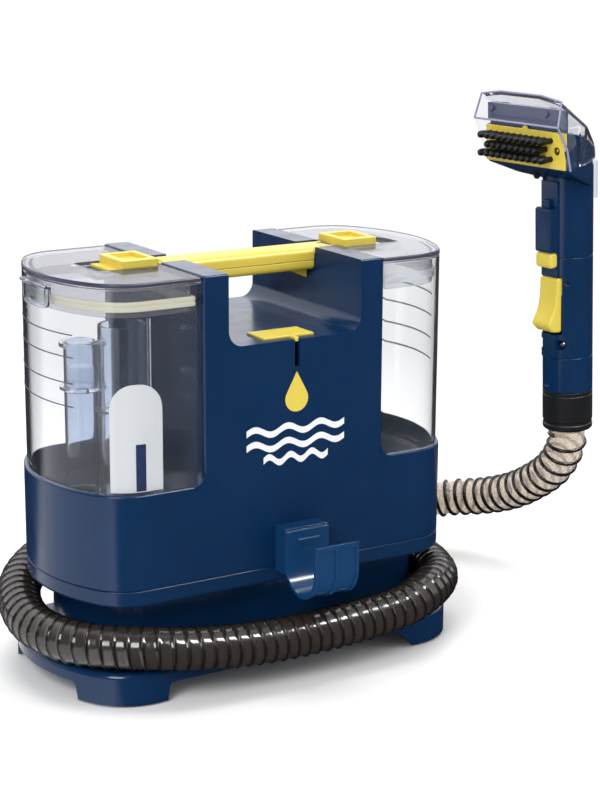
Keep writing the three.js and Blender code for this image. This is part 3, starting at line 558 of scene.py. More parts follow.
# ---------------------------------------------------------------- suction hose
# The route of the CAD model, in metres: round the base, along the floor behind, up to the hand tool.
HOSE_ROUTE = [
    (0.030, 0.083, 0.046), (0.066, 0.0835, 0.046), (0.104, 0.083, 0.046), (0.139, 0.073, 0.046),
    (0.161, 0.043, 0.046), (0.170, 0.000, 0.046), (0.162, -0.042, 0.046), (0.149, -0.067, 0.046),
    (0.130, -0.084, 0.0456), (0.112, -0.0945, 0.0448), (0.092, -0.101, 0.042), (0.045, -0.1045, 0.039),
    (-0.010, -0.1055, 0.0376), (-0.060, -0.1045, 0.0394), (-0.103, -0.0995, 0.0428),
    (-0.127, -0.092, 0.0453), (-0.149, -0.077, 0.0456), (-0.175, -0.048, 0.0456),
    (-0.187, -0.005, 0.047), (-0.181, 0.038, 0.052), (-0.162, 0.075, 0.058), (-0.129, 0.104, 0.063),
    (-0.088, 0.122, 0.057), (-0.040, 0.129, 0.042), (0.010, 0.131, 0.028), (0.060, 0.131, 0.021),
    (0.110, 0.131, 0.022), (0.160, 0.130, 0.029), (0.205, 0.126, 0.039), (0.243, 0.114, 0.047),
    (0.274, 0.092, 0.054), (0.292, 0.059, 0.062), (0.299, 0.025, 0.075), (0.302, -0.004, 0.092),
    (0.3034, -0.025, 0.109), (0.3038, -0.038, 0.128), (0.303, -0.0423, 0.142), (0.3026, -0.0423, 0.1484),
]
HOSE_RADIUS = 0.0173
FILM_DIP = (0.0013, 0.0023)  # how far the film draws in between the wire's turns: wound, and free
WIRE_RADIUS = (0.001, 0.0017)
RIB_PITCH = (0.0099, 0.0116)  # where it lies wound round the base, and where it runs free
HOSE_STEP = 0.001
HOSE_SIDES = 30
WOUND_UNTIL = (0.56, 0.68)  # shares of the length between which one turns into the other


def smooth_route(points, steps=24):
    """A centripetal Catmull-Rom line through the points."""
    ends = [points[0] * 2 - points[1]], [points[-1] * 2 - points[-2]]
    padded = ends[0] + points + ends[1]
    line = []
    for p0, p1, p2, p3 in zip(padded, padded[1:], padded[2:], padded[3:]):
        d0, d1, d2 = ((b - a).length ** 0.5 for a, b in ((p0, p1), (p1, p2), (p2, p3)))
        leave = ((p1 - p0) / d0 - (p2 - p0) / (d0 + d1) + (p2 - p1) / d1) * d1
        arrive = ((p2 - p1) / d1 - (p3 - p1) / (d1 + d2) + (p3 - p2) / d2) * d1
        for i in range(steps):
            t = i / steps
            line.append(
                p1
                + leave * t
                + (p1 * -3 + p2 * 3 - leave * 2 - arrive) * t ** 2
                + (p1 * 2 - p2 * 2 + leave + arrive) * t ** 3
            )
    return line + [points[-1]]


def evenly(line, step):
    """The line's points again, evenly spaced, and its length."""
    along = [0.0]
    for a, b in zip(line, line[1:]):
        along.append(along[-1] + (b - a).length)
    total = along[-1]
    count = round(total / step)
    made, k = [], 0
    for i in range(count + 1):
        want = total * i / count
        while k < len(line) - 2 and along[k + 1] < want:
            k += 1
        t = (want - along[k]) / (along[k + 1] - along[k])
        made.append(line[k].lerp(line[k + 1], min(1.0, t)))
    return made, total


def frames_along(points):
    """A pair of cross directions at each point that turn as little as they can."""
    across = Vector((0, 0, 1))
    made = []
    for i in range(len(points)):
        run = (points[min(i + 1, len(points) - 1)] - points[max(i - 1, 0)]).normalized()
        across = (across - run * across.dot(run)).normalized()
        made.append((across, run.cross(across)))
    return made


def wound(share):
    """1 where the hose lies wound round the base, 0 where it runs free."""
    start, end = WOUND_UNTIL
    return min(1.0, max(0.0, (end - share) / (end - start)))


def blend(pair, share):
    """Between a wound and a free value, by the share of the hose's length."""
    return pair[1] + (pair[0] - pair[1]) * wound(share)


def make_hose():
    shift = Matrix.Translation(MACHINE.translation)
    route = [shift @ Vector(p) for p in HOSE_ROUTE]
    points, length = evenly(smooth_route(route), HOSE_STEP)
    frames = frames_along(points)
    last = len(points) - 1
    turns = [0.0]
    for i in range(last):
        turns.append(turns[-1] + length / last / blend(RIB_PITCH, i / last))

    def rise(i, turn):
        """1 at the wire, falling off to 0 over a narrow shoulder."""
        away = abs((turns[i] - turn + 0.5) % 1 - 0.5)
        return max(0.0, 1 - away / 0.2) ** 1.5

    def ring(i, thickness):
        made = []
        dip = blend(FILM_DIP, i / last)
        for k in range(HOSE_SIDES):
            turn = k / HOSE_SIDES
            radius = HOSE_RADIUS - dip * (1 - rise(i, turn)) - thickness
            u, v = frames[i]
            angle = 2 * math.pi * turn
            made.append(points[i] + u * radius * math.cos(angle) + v * radius * math.sin(angle))
        return made

    order = list(range(last + 1))
    outer = [ring(i, 0) for i in order]
    inner = [ring(i, 0.0005) for i in reversed(order)]
    skin = loft(outer + inner, closed=True)
    packed, rib = (skin.data.attributes.new(name, "FLOAT", "POINT") for name in ("packed", "rib"))
    packs, ribs = [], []
    for i in order + order[::-1]:
        packs += [wound(i / last)] * HOSE_SIDES
        ribs += [rise(i, k / HOSE_SIDES) for k in range(HOSE_SIDES)]
    packed.data.foreach_set("value", packs)
    rib.data.foreach_set("value", ribs)

    wire_line, wire_radii = [], []
    step = 1 / 24
    i = 0
    for j in range(6, int(turns[-1] / step) - 6):
        turn = j * step
        while turns[i + 1] < turn:
            i += 1
        t = (turn - turns[i]) / (turns[i + 1] - turns[i])
        middle = points[i].lerp(points[i + 1], t)
        u, v = frames[i][0].lerp(frames[i + 1][0], t), frames[i][1].lerp(frames[i + 1][1], t)
        angle = 2 * math.pi * turn
        wire_radii.append(blend(WIRE_RADIUS, i / last))
        out = HOSE_RADIUS - wire_radii[-1] + 0.0002
        wire_line.append(middle + u * out * math.cos(angle) + v * out * math.sin(angle))
    rings = []
    for point, radius, (u, v) in zip(wire_line, wire_radii, frames_along(wire_line)):
        rings.append([
            point + (u * math.cos(a) + v * math.sin(a)) * radius
            for a in (2 * math.pi * k / 6 for k in range(6))
        ])
    return skin, loft(rings), points, length


hose_skin, hose_wire, hose_points, hose_length = make_hose()
IN_PLACE = Matrix.Identity(4)
CORD_NODES = ("hose_wrapped", "hose_free")
hose = piece("hose_film", hose_skin, "machine", FILM, IN_PLACE, nodes=CORD_NODES, sharp=80)
wire = piece("hose_wire", hose_wire, "machine", WIRE, IN_PLACE, sharp=80)

cuff_profile = eased(
    [(14.8, 0.3), (20.2, 0.3), (21.5, 1.8), (21.5, 5.2), (20.9, 5.8), (20.9, 8.2), (21.5, 8.8),
     (21.5, 31.2), (21.15, 31.5), (21.15, 32.1), (21.5, 32.4), (21.5, 35), (14.8, 35)],
    0.35,
)
cuff = turned(0, 0, cuff_profile, 64)
piece("hose_cuff", cuff, "machine", BLACK, TOOL)


# ---------------------------------------------------------------- base
TRAY_BOTTOM, TRAY_TOP = 1.5, 27
TRAY_ARCH = 16  # height of the openings between the feet
PADS = ((-150, -67), (-150, 67), (134, -67), (134, 67))
PAD_RADIUS = 10


def make_base():
    under = TRAY_TOP - WALL
    tray = slab(lambda inset: plan(TRAY, inset), TRAY_BOTTOM, TRAY_TOP, 0.8, 5)
    hollow = slab(lambda inset: plan(TRAY, WALL + inset), -1, under, 0, 3)
    front = eased([(-118.5, -1), (-115.5, TRAY_ARCH), (94, TRAY_ARCH), (110, -1)], 4)
    ends = eased([(-56, -1), (-53, TRAY_ARCH), (53, TRAY_ARCH), (56, -1)], 4)
    column = slab(lambda inset: plan(COLUMN, inset), under + 0.5, PAN_BOTTOM - GAP)
    inside = slab(lambda inset: plan(COLUMN, WALL + inset), TRAY_TOP + 0.5, PAN_BOTTOM + 2)
    bosses = [disc(x, y, PAD_RADIUS + WALL, TRAY_BOTTOM, TRAY_TOP - 1) for x, y in PADS]
    shell = cut(tray, hollow)
    shell = join(shell, column, *bosses)
    shell = cut(shell, prism(front, "y", -FAR, FAR), prism(ends, "x", -FAR, FAR), inside)
    return bevelled(shell, 0.9)


piece("base_stand", make_base(), "machine", NAVY)
for number, (pad_x, pad_y) in enumerate(PADS, 1):
    pad = disc(pad_x, pad_y, PAD_RADIUS, 0, TRAY_BOTTOM - GAP, 0.5)
    piece(f"foot_pad_{number}", pad, "machine", RUBBER, nodes=(f"rubber_foot_{number}",))

PORT = (-14, 29.7, 83, 45)  # along X from, to; Y; height
PORT_BORE = 14.8


def make_port():
    """A socket for the hose, closed at one end, with a branch that leads in to the column."""
    x0, x1, y, z = PORT
    barrel = join(
        rod((x0, y, z), (x1, y, z), PORT_BORE + 2.4, 48, 1.0),
        rod((x1 - 6, y, z), (x1, y, z), PORT_BORE + 2.6, 48, 0.5),
        rod((x0 + 14, 56, z), (x0 + 14, y, z), 12),
    )
    bore = rod((x0 + 4, y, z), (x1 + 1, y, z), PORT_BORE, 48)
    branch = rod((x0 + 14, 52, z), (x0 + 14, y, z), 9.5)
    return cut(barrel, bore, branch)


piece("hose_port", make_port(), "machine", DARK_NAVY)


# ---------------------------------------------------------------- lower pan and housing
def make_pan():
    shell = slab(lambda inset: plan(BODY, inset), PAN_BOTTOM, SEAM - GAP, 3.5, 0.8)
    hollow = slab(lambda inset: plan(BODY, WALL + inset), PAN_BOTTOM + WALL, SEAM + 1, 3)
    return cut(shell, hollow, disc(*INTAKE, 10, PAN_BOTTOM - 1, SEAM))


piece("lower_pan", make_pan(), "machine", NAVY)

BUTTON = (-23.5, 21.5, -74.5, -48.5)  # along X from, to; along Y from, to
REAR = (50, 112, 236)  # half width, bottom, top of the cover at the back
FILLET = 9
GLAND = (95, 112)  # X and height of the cord's gland


def fillet_at(side):
    """The web that rounds a tank window's lower inner corner, between the tower and the rim."""
    inside, edge = side * (TOWER_HALF - 1), side * (TOWER_HALF + FILLET)
    turn = (-90, -180) if side > 0 else (-90, 0)
    corner = arc(edge, RIM + FILLET, FILLET, *turn, 8)
    return [(inside, RIM - 1), (edge, RIM - 1)] + corner + [(inside, RIM + FILLET)]


def make_housing():
    shell = slab(lambda inset: plan(BODY, inset), SEAM, RIM, 0.8, 1.8)
    tower = slab(
        lambda inset: rounded_rect(
            inset - TOWER_HALF, TOWER_HALF - inset, inset - HALF_DEPTH, HALF_DEPTH - inset, 2.5
        ),
        SEAM + 9, HEIGHT, 0, 1.6,
    )
    webs = []
    for side in (-1, 1):
        webs.append(prism(fillet_at(side), "y", -HALF_DEPTH, 2.2 - HALF_DEPTH))
        webs.append(prism(fillet_at(side), "y", HALF_DEPTH - 2.2, HALF_DEPTH))
    shell = join(shell, tower, *webs)
    hollows = []
    for side in (-1, 1):
        edge = TOWER_HALF
        hollows.append(slab(
            lambda inset, side=side, edge=edge: half_plan(side, WALL - TANK_INSET + inset, edge),
            WELL_FLOOR, RIM + 6, 2,
        ))
        x0, x1 = on_side(side, NOTCH_HALF + 3.5, TOWER_HALF - 4)
        hollows.append(box(x0, x1, WALL - HALF_DEPTH, HALF_DEPTH - WALL, 261, 315.6))
        x0, x1 = on_side(side, NOTCH_HALF - 1, TOWER_HALF + 1)
        hollows.append(box(x0, x1, -15.3, 15.3, 318.6, HEIGHT + 1))
    hollows.append(slab(lambda inset: plan(BODY, WALL + inset), SEAM - 1, WELL_FLOOR - WALL))
    hollows.append(box(4 - TOWER_HALF, TOWER_HALF - 4, WALL - HALF_DEPTH, HALF_DEPTH - WALL, SEAM, 262))
    notch = rounded_rect(-NOTCH_HALF, NOTCH_HALF, NOTCH_FLOOR, HEIGHT + 40, 12, 8)
    hollows.append(prism(notch, "y", -FAR, FAR))
    x0, x1, y0, y1 = BUTTON
    hollows.append(box(x0 - GAP, x1 + GAP, y0 - GAP, y1 + GAP, 255, 275))
    hollows.append(box(-1.2, 3.2, -HALF_DEPTH - 1, y0, 247, NOTCH_FLOOR + 1))
    hollows.append(box(-REAR[0], REAR[0], HALF_DEPTH - WALL - 1, HALF_DEPTH + 1, REAR[1], REAR[2]))
    hollows += [disc(*port, *WELL_HOLE) for port in ((*INTAKE, 13), (*OUTLET, 11), (*VALVE, 7))]
    x, z = GLAND
    hollows.append(rod((x, HALF_DEPTH - 8, z), (x, HALF_DEPTH + 5, z), 6.3))
    return bevelled(cut(shell, *hollows), 1.1)


piece("main_housing", make_housing(), "machine", NAVY)


# ---------------------------------------------------------------- back of the machine
def make_rear_cover():
    half, z0, z1 = REAR
    panel = box(GAP - half, half - GAP, HALF_DEPTH - 2.6, HALF_DEPTH, z0 + GAP, z1 - GAP, 0.6)
    slots = [box(-34, 34, HALF_DEPTH - 5, HALF_DEPTH + 1, z, z + 4) for z in range(150, 201, 10)]
    return bevelled(cut(panel, *slots), 0.4)


piece("rear_cover", make_rear_cover(), "machine", NAVY)


def screw(at, axis, radius, height, cross):
    """A pan head with a cross recess, standing on at along axis."""
    at, axis = Vector(at), Vector(axis)
    dome = [
        (0, 0), (radius, 0), (radius, height * 0.4), (radius * 0.8, height * 0.82), (radius * 0.4, height),
        (0, height),
    ]
    head = turned(0, 0, dome, 32, closed=False)
    arm, deep = radius * 0.62, height * (1 - cross)
    head = cut(
        head,
        box(-arm, arm, -0.5, 0.5, deep, height + 1),
        box(-0.5, 0.5, -arm, arm, deep, height + 1),
    )
    return moved(head, Matrix.Translation(at) @ axis.to_track_quat("Z", "Y").to_matrix().to_4x4())


for number, (x, z) in enumerate(((-42, 120), (42, 120), (-42, 228), (42, 228)), 1):
    head = screw((x, HALF_DEPTH + GAP, z), (0, 1, 0), 3.6, 1.5, 0.5)
    piece(f"rear_screw_{number}", head, "machine", STEEL)

gland_profile = eased(
    [(3.5, -5), (6, -5), (6, 0.3), (8.5, 0.3), (8.5, 2.2), (7.4, 2.8), (7.4, 4), (8, 4.4), (8, 5.4),
     (6.8, 6), (6.4, 8), (3.5, 8)],
    0.3,
)
gland = moved(
    turned(0, 0, gland_profile),
    Matrix.Translation((GLAND[0], HALF_DEPTH, GLAND[1])) @ Matrix.Rotation(math.radians(-90), 4, "X"),
)
piece("cord_gland", gland, "machine", RUBBER)


# ---------------------------------------------------------------- handle and power button
HANDLE = (305.5, 313.4, 323.4, 318.9)  # bottom, split, top, underside of the end plates
HANDLE_SPAN = NOTCH_HALF - GAP
HANDLE_HALF = 15


def make_handle_upper():
    _, split, top, plate = HANDLE
    reach = TOWER_HALF - GAP
    section = (
        [(-HANDLE_HALF, split + GAP), (HANDLE_HALF, split + GAP)]
        + arc(HANDLE_HALF - 5, top - 5, 5, 0, 90, 8)
        + arc(5 - HANDLE_HALF, top - 5, 5, 90, 180, 8)
    )
    tools = []
    for side in (-1, 1):
        x0, x1 = on_side(side, HANDLE_SPAN, FAR)
        tools.append(box(x0, x1, -FAR, FAR, 0, plate))
        x0, x1 = on_side(side, TOWER_HALF - 6.5, FAR)
        tools.append(box(x0, x1, -8.6, 8.6, 0, HEIGHT + 1))
    return bevelled(cut(prism(section, "x", -reach, reach), *tools), 0.5)


def make_handle_lower():
    bottom, split = HANDLE[:2]
    section = (
        arc(5 - HANDLE_HALF, bottom + 5, 5, 180, 270, 8)
        + arc(HANDLE_HALF - 5, bottom + 5, 5, 270, 360, 8)
        + [(HANDLE_HALF, split), (-HANDLE_HALF, split)]
    )
    bar = prism(section, "x", -HANDLE_SPAN, HANDLE_SPAN)
    gussets = []
    for side in (-1, 1):
        corner = side * HANDLE_SPAN
        web = [(corner, bottom + 1), (side * (HANDLE_SPAN - 20), bottom + 1), (corner, bottom - 8)]
        gussets.append(prism(web, "y", -4, 4))
    return bevelled(join(bar, *gussets), 0.6)


piece("handle_upper", make_handle_upper(), "machine", YELLOW)
piece("handle_lower", make_handle_lower(), "machine", YELLOW)


def make_button():
    x0, x1, y0, y1 = BUTTON
    under, top = NOTCH_FLOOR - 2, NOTCH_FLOOR + 1.6
    cap = box(x0, x1, y0, y1, under, top)
    tongue = box(-0.9, 2.9, 1.2 - HALF_DEPTH, y0 + 1, under, top)
    stem = box(-6, 4, -66, -56, 250.3, NOTCH_FLOOR - 1)
    return bevelled(join(cap, tongue, stem), 0.7)


piece("power_button", make_button(), "power_button", YELLOW)

# ---------------------------------------------------------------- clip that stores the hand tool
CLIP = (-18.5, 20.5)
CLIP_BACK, CLIP_MIDDLE, CLIP_LEVEL, CLIP_RADIUS, CLIP_TOP = -97, -120, 97, 23, 121


def make_clip():
    x0, x1 = CLIP
    y, z, r, top = CLIP_MIDDLE, CLIP_LEVEL, CLIP_RADIUS, CLIP_TOP
    section = (
        [(y - r, top - 1)]
        + arc(y, z, r, 180, 360, 24)
        + [(y + r, top), (y + r - WALL, top)]
        + arc(y, z, r - WALL, 360, 180, 24)
        + [(y - r + WALL, top - 1)]
    )
    spine = box(x0, x1, CLIP_BACK - 1, FRONT - GAP, 86, top + 2)
    skin = [(y - r - 1, top - 5)] + arc(y, z, r + 1, 180, 262, 12) + arc(y, z, r - 1.4, 262, 180, 12)
    skin.append((y - r + 1.4, top - 5))
    pockets = [prism(skin, "x", *span) for span in ((x0 + 2.4, -0.3), (2.3, x1 - 2.4))]
    trough = join(prism(section, "x", x0, x1), spine)
    lug = [
        box(-8, 12, CLIP_BACK - 4.2, CLIP_BACK - 2, 111.5, 114),
        box(-4, 8, CLIP_BACK - 3.6, CLIP_BACK - 2, 108, 112),
    ]
    return bevelled(join(cut(trough, *pockets), *lug), 0.7)


# The clip wears the lighter, painted-light copy of the navy.
piece("tool_clip", make_clip(), "machine", LIT_CLIP_NAVY)


# ---------------------------------------------------------------- tanks
def ribbon(stations, heights, near, far):
    """A thin strip on a wall: stations are points and outward directions along it, heights its lower
    and upper edge at each, and near and far its two faces' distances out from the points."""
    rings = []
    for (x, y, nx, ny), (low, high) in zip(stations, heights):
        rings.append([
            (x + nx * near, y + ny * near, low),
            (x + nx * far, y + ny * far, low),
            (x + nx * far, y + ny * far, high),
            (x + nx * near, y + ny * near, high),
        ])
    return loft(rings)


def end_stations(side, start, end, steps=40):
    """Points and outward directions on a tank's end wall, by their angles about its centre."""
    x, radius = TANK_END[side]
    made = []
    for (px, py) in arc(x, 0, radius, start, end, steps):
        made.append((px, py, (px - x) / radius, py / radius))
    return made


SEAT_INSET = WALL - TANK_INSET + GAP


def make_tank(side, holes):
    near = TOWER_HALF + GAP
    under, top = TANK_FLOOR - TANK_WALL, LID[0] - GAP
    rings = []

    def ring(inset, edge, z):
        rings.append([(x, y, z) for x, y in half_plan(side, inset, edge)])

    for inset, z in levels(under, RIM + 0.3, 2.0, 0):
        ring(SEAT_INSET + inset, near + inset, z)
    ring(0.3, near, RIM + 0.3)
    ring(0, near, RIM + 0.8)
    for inset, z in levels(RIM + 2, top, 0, 0.5, 2):
        ring(inset, near + inset, z)
    for inset, z in reversed(levels(TANK_FLOOR, top, 4.0, 0)):
        deeper = SEAT_INSET if z < RIM + 4 else 0
        ring(TANK_WALL + inset + deeper, near + TANK_WALL + inset, z)
    return cut(loft(rings), *holes)


def make_lid(side):
    near = TOWER_HALF + GAP
    under, top = LID
    rings = []

    def ring(inset, edge, z):
        rings.append([(x, y, z) for x, y in half_plan(side, inset, edge)])

    ring(7.8, near + 8.2, under)
    ring(7.8, near + 8.2, 297.3)
    ring(7.4, near + 7.8, 297)
    ring(6.0, near + 6.4, 297)
    ring(5.6, near + 6, 297.3)
    ring(5.6, near + 6, under)
    for inset, z in levels(under, top, 0.5, 1.2, 4):
        ring(inset, near + inset, z)
    lid = loft(rings)
    x0, x1 = on_side(side, 83.4, 138)
    lid = join(lid, box(x0, x1, -23.5, 23.5, 314, top - 1.4))
    x0, x1 = on_side(side, LATCH[0] - 1, 136)
    slot = box(x0, x1, -20.1, 20.1, LATCH[3] - GAP, top + 1)
    x0, x1 = on_side(side, TOWER_HALF - 1, LATCH[0])
    return bevelled(cut(lid, slot, box(x0, x1, -9, 9, LATCH[3] - GAP, top + 1)), 0.4, 50, 2)


def make_gasket(side):
    """A soft band with two lips, between the lid's skirt and the tank's wall."""
    near = TOWER_HALF + GAP + TANK_WALL + GAP
    section = [
        (5.1, 301.3), (4.2, 301.3), (3.7, 301.9), (3.7, 304), (4.2, 304.7), (4.2, 305.4), (3.7, 306),
        (3.7, 307.8), (4.1, 308.6), (5.1, 308.8),
    ]
    rings = [
        [(x, y, z) for x, y in half_plan(side, inset, near + inset - 3.6)]
        for inset, z in section
    ]
    return loft(rings, closed=True)


def make_lid_edge(side):
    """Painted shade: a dark band along a lid's upper edge, standing in for the dark line that the clear lid's
    rim shows.
    """
    near = TOWER_HALF + GAP
    section = [
        (-0.15, 320.2), (-0.15, 321.9), (0.3, 322.7), (0.9, 323.1), (0.9, 322.2), (0.45, 321.8),
        (0.3, 320.2),
    ]
    rings = [[(x, y, z) for x, y in half_plan(side, inset, near + max(0, inset))] for inset, z in section]
    return loft(rings, closed=True)


LATCH = (84, 115, 19.5, 319.6, 328.5)  # inner and outer end, half width, bottom and top


def make_latch(side):
    inner, outer, half, bottom, top = LATCH
    x0, x1 = on_side(side, inner, outer)
    block = box(x0, x1, -half, half, bottom, top, 0.9)
    s0, s1 = on_side(side, inner + 2, outer + 8)
    t0, t1 = on_side(side, TOWER_HALF - 5.5, inner + 2)
    block = join(
        block,
        box(s0, s1, 1 - half, half - 1, bottom, bottom + 2),
        box(t0, t1, -8, 8, bottom, bottom + 2.6),
    )
    r0, r1 = on_side(side, inner + 5, outer - 5)
    recess = box(r0, r1, 6 - half, half - 6, top - 3, top + 1)
    middle = side * (inner + outer) / 2
    return bevelled(cut(block, recess, disc(middle, 0, 2, top - 6, top + 1)), 0.6, 50)


TANK_LOOKS = {
    -1: ("dirty", SMOKE, SMOKE_LID, CREAM_RUBBER, "smoke_clear", ((*INTAKE, 12.5), (*OUTLET, 10.5))),
    1: ("clean", FROST, FROST_LID, MILKY, "frost_clear", ((*VALVE, 5),)),
}
for side, (water, material, lid_material, seal_material, slot, ports) in TANK_LOOKS.items():
    tank, lid, gasket, latch = (f"{water}_{part}" for part in ("tank", "lid", "gasket", "latch"))
    holes = [disc(*port, *WELL_HOLE) for port in ports]
    piece(tank, make_tank(side, holes), tank, material)
    piece(lid, make_lid(side), lid, lid_material)
    piece(gasket, make_gasket(side), lid, seal_material)
    piece(latch, make_latch(side), latch, YELLOW)
    # Painted shade: a dark sheet on the lid slot's floor, where the slot only lies in shade.
    x0, x1 = on_side(side, LATCH[0] - 0.6, 135.6)
    slot_shade_sheet = box(x0, x1, -19.8, 19.8, LATCH[3] - 0.35, LATCH[3] - 0.12)
    piece(f"{lid}_slot", slot_shade_sheet, lid, PAINTED_SHADE)
    # Painted shade: the dark band along the lid's upper edge.
    piece(f"{lid}_edge", make_lid_edge(side), lid, PAINTED_SHADE)

# Level lines: printed on the dirty tank's end, and moulded ridges on the clean tank's.
for number, (level, last) in enumerate(((282, 201), (265, 201), (245.2, 201), (227.5, 201)), 1):
    stations = end_stations(-1, 152, last)
    line = ribbon(stations, [(level - 0.45, level + 0.45)] * len(stations), 0.02, 0.3)
    piece(f"dirty_level_{number}", line, "dirty_tank", GREY)
for number, level in enumerate((281.4, 263.3, 244.5, 227.2), 1):
    stations = end_stations(1, -21, 24)
    ridge = ribbon(stations, [(level - 0.7, level + 0.7)] * len(stations), -0.1, 0.4)
    piece(f"clean_level_{number}", ridge, "clean_tank", RIDGE)


def front_left_stations(start, end, steps=48):
    """Points and outward directions on the dirty tank's front wall and corner, by their distance
    along the wall from the tower."""
    rise = BODY[2] - BODY[4]
    reach = math.sqrt((BODY[3] - BODY[4]) ** 2 - rise ** 2)
    corner_x, radius = BODY[3] - BODY[0] - reach, BODY[4] - TANK_INSET
    flat = -TOWER_HALF - corner_x
    made = []
    for i in range(steps + 1):
        s = start + (end - start) * i / steps
        if s < flat:
            made.append((-TOWER_HALF - s, TANK_INSET - HALF_DEPTH, 0, -1))
            continue
        a = math.radians(270) - (s - flat) / radius
        nx, ny = math.cos(a), math.sin(a)
        made.append((corner_x + radius * nx, -rise + radius * ny, nx, ny))
    return made


def arched(start, end, low, high, radius, steps=48):
    """Lower and upper edges along a label with a round top."""
    made = []
    for i in range(steps + 1):
        s = start + (end - start) * i / steps
        out = max(0.0, radius - min(s - start, end - s))
        made.append((low, high - radius + math.sqrt(max(0.0, radius ** 2 - out ** 2))))
    return made


LABEL = (33.2, 76.4, 165.2, 247.5, 19.5)
label = ribbon(front_left_stations(LABEL[0], LABEL[1]), arched(*LABEL), -TANK_WALL - 0.35, -TANK_WALL - 0.05)
piece("tank_label", label, "dirty_tank", LABEL_WHITE)
PATCH = (47.3, 55.7, 166, 202)
patch = ribbon(
    front_left_stations(PATCH[0], PATCH[1], 8), [PATCH[2:]] * 9, -TANK_WALL - 0.04, -TANK_WALL + 0.2
)
piece("tank_label_patch", patch, "dirty_tank", NAVY_PRINT)
rib = box(-124.2, -121.6, FRONT + 5.2, FRONT + 8.4, 148.5, 296, 0.5)
piece("tank_front_rib", rib, "dirty_tank", SMOKE)


# ---- the dirty tank's tubes, float, seals and lid clip
def make_intake():
    x, y = INTAKE
    tube = eased(
        [(17, 145.1), (19.5, 145.1), (19.5, 214.6), (22.5, 215), (22.5, 218), (19.5, 218.4), (19.5, 283),
         (17, 283)],
        0.5,
    )
    return turned(x, y, tube, 64)


def make_outlet():
    x, y = OUTLET
    tube = eased(
        [(11, 145.1), (13, 145.1), (13, 225.8), (16.5, 226), (16.5, 228.4), (13, 228.7), (13, 259.8),
         (16.5, 260), (16.5, 263), (13, 263.2), (13, 264), (11, 264), (11, 227.7), (5, 227.7), (5, 224),
         (11, 224)],
        0.4,
    )
    return turned(x, y, tube, 56)


piece("intake_tube", make_intake(), "dirty_tank", SMOKE_TUBE)
piece("outlet_tube", make_outlet(), "dirty_tank", SMOKE_TUBE)
float_valve = disc(*OUTLET, 10.3, 228.1, 244, 1.5)
piece("float_valve", float_valve, "float_valve", MILKY)


LID_CLIP = (23, 298.5, 316.2, 8)  # half width, bottom, top, corner radius


def make_lid_clip():
    """A curved tab on the tank's end with round lower corners and a raised rim, on its pivot bar."""
    half, low, high, corner = LID_CLIP
    steps = 40
    swing = math.degrees(half / TANK_END[-1][1])
    stations = end_stations(-1, 180 - swing, 180 + swing, steps)

    def heights(grow):
        made = []
        for i in range(steps + 1):
            out = max(0.0, abs(2 * i / steps - 1) * half - (half - corner))
            made.append((low + grow + corner - math.sqrt(max(0.0, corner ** 2 - out ** 2)), high))
        return made

    plate = ribbon(stations, heights(0), 0.6, 2.9)
    inner = stations[4:-4]
    dish = ribbon(inner, [(z + 2.6, high - 3.4) for z, _ in heights(0)][4:-4], 1.9, 4)
    bar = rod((-178.6, -half, 315), (-178.6, half, 315), 1.45, 16)
    return bevelled(join(cut(plate, dish), bar), 0.35, 50, 2)


piece("dirty_lid_clip", make_lid_clip(), "dirty_lid_clip", SMOKE_CLIP)
plunger_profile = eased(
    [(0, 136), (3.3, 136), (3.3, 145.1), (7.9, 145.1), (7.9, 147.6), (6, 148.7), (0, 148.7)], 0.4
)
plunger_profile = [(0, 136)] + [p for p in plunger_profile if p[0] > 0.5] + [(0, 148.7)]
plunger = turned(*VALVE, plunger_profile, 40, closed=False)
piece("clean_valve", plunger, "clean_valve", BLACK)

# ---------------------------------------------------------------- hand tool: collar, grip, trigger
FLAT_HALF = 9.5  # half width of the flat strip down the wand's front
AIR = (-5.5, 13)  # centre and radius of the way for the air
COLLAR = (35.3, 65.7)  # along the wand from, to
GRIP = (66, 153.3)
NECK = (153.6, 218)
PIN = (15.5, 131)  # the trigger's pin
PIN_HOLE = 1.8
SCREW = (10, 78)
HEAD_SCREW = (37.5, 250)
STUDS = (-38, 26)


def wand_stretch(z0, z1, ease=0.5):
    """A stretch of the wand: round, with a flat strip down its front."""
    round_part = disc(0, 0, WAND - 0.1, z0, z1, ease, 72)
    strip = box(10, WAND + 0.6, -FLAT_HALF, FLAT_HALF, z0 + 0.1, z1 - 0.1, 0.5)
    return join(round_part, strip)


def airway(z0, z1):
    return disc(AIR[0], 0, AIR[1], z0, z1)


collar = cut(disc(0, 0, WAND, *COLLAR, 0.6, 72), airway(0, 100), box(19.4, 30, -9, -1.5, 39, 56, 1.2))
piece("wand_collar", collar, "machine", NAVY, TOOL)


def pin_hole(half):
    x, z = PIN
    return rod((x, -half, z), (x, half, z), PIN_HOLE)


def make_grip():
    pocket = box(9.6, 30, -11.4, 11.4, 87, 137)
    wells = [rod((14, y, SCREW[1]), (30, y, SCREW[1]), 4.4) for y in (SCREW[0], -SCREW[0])]
    grip = cut(wand_stretch(*GRIP), airway(0, 200), pocket, pin_hole(30), *wells)
    return bevelled(grip, 0.5, 50, 2)


piece("wand_grip", make_grip(), "machine", NAVY, TOOL)


def make_trigger():
    outline = (
        [(13, 135.5), (19.5, 136.2)]
        + arc(20.4, 133.7, 2.5, 90, 0, 5)
        + [(23.1, 128), (23.5, 121), (24.6, 114), (26.4, 108), (29, 103.4), (31.2, 100.4)]
        + arc(28.8, 97.2, 3.6, 40, -60, 6)
        + [(27, 90.4), (17.2, 88.8), (16.8, 120), (13, 127)]
    )
    body = bevelled(prism(outline, "y", -10.9, 10.9), 2.4, 40, 5)
    return cut(body, box(9, 19.6, -3.6, 3.6, 126, 140), pin_hole(12))


piece("trigger", make_trigger(), "trigger", YELLOW, TOOL)
piece("wand_screw", screw((14.4, *SCREW), (1, 0, 0), 3.2, 2.4, 0.5), "machine", STEEL, TOOL)

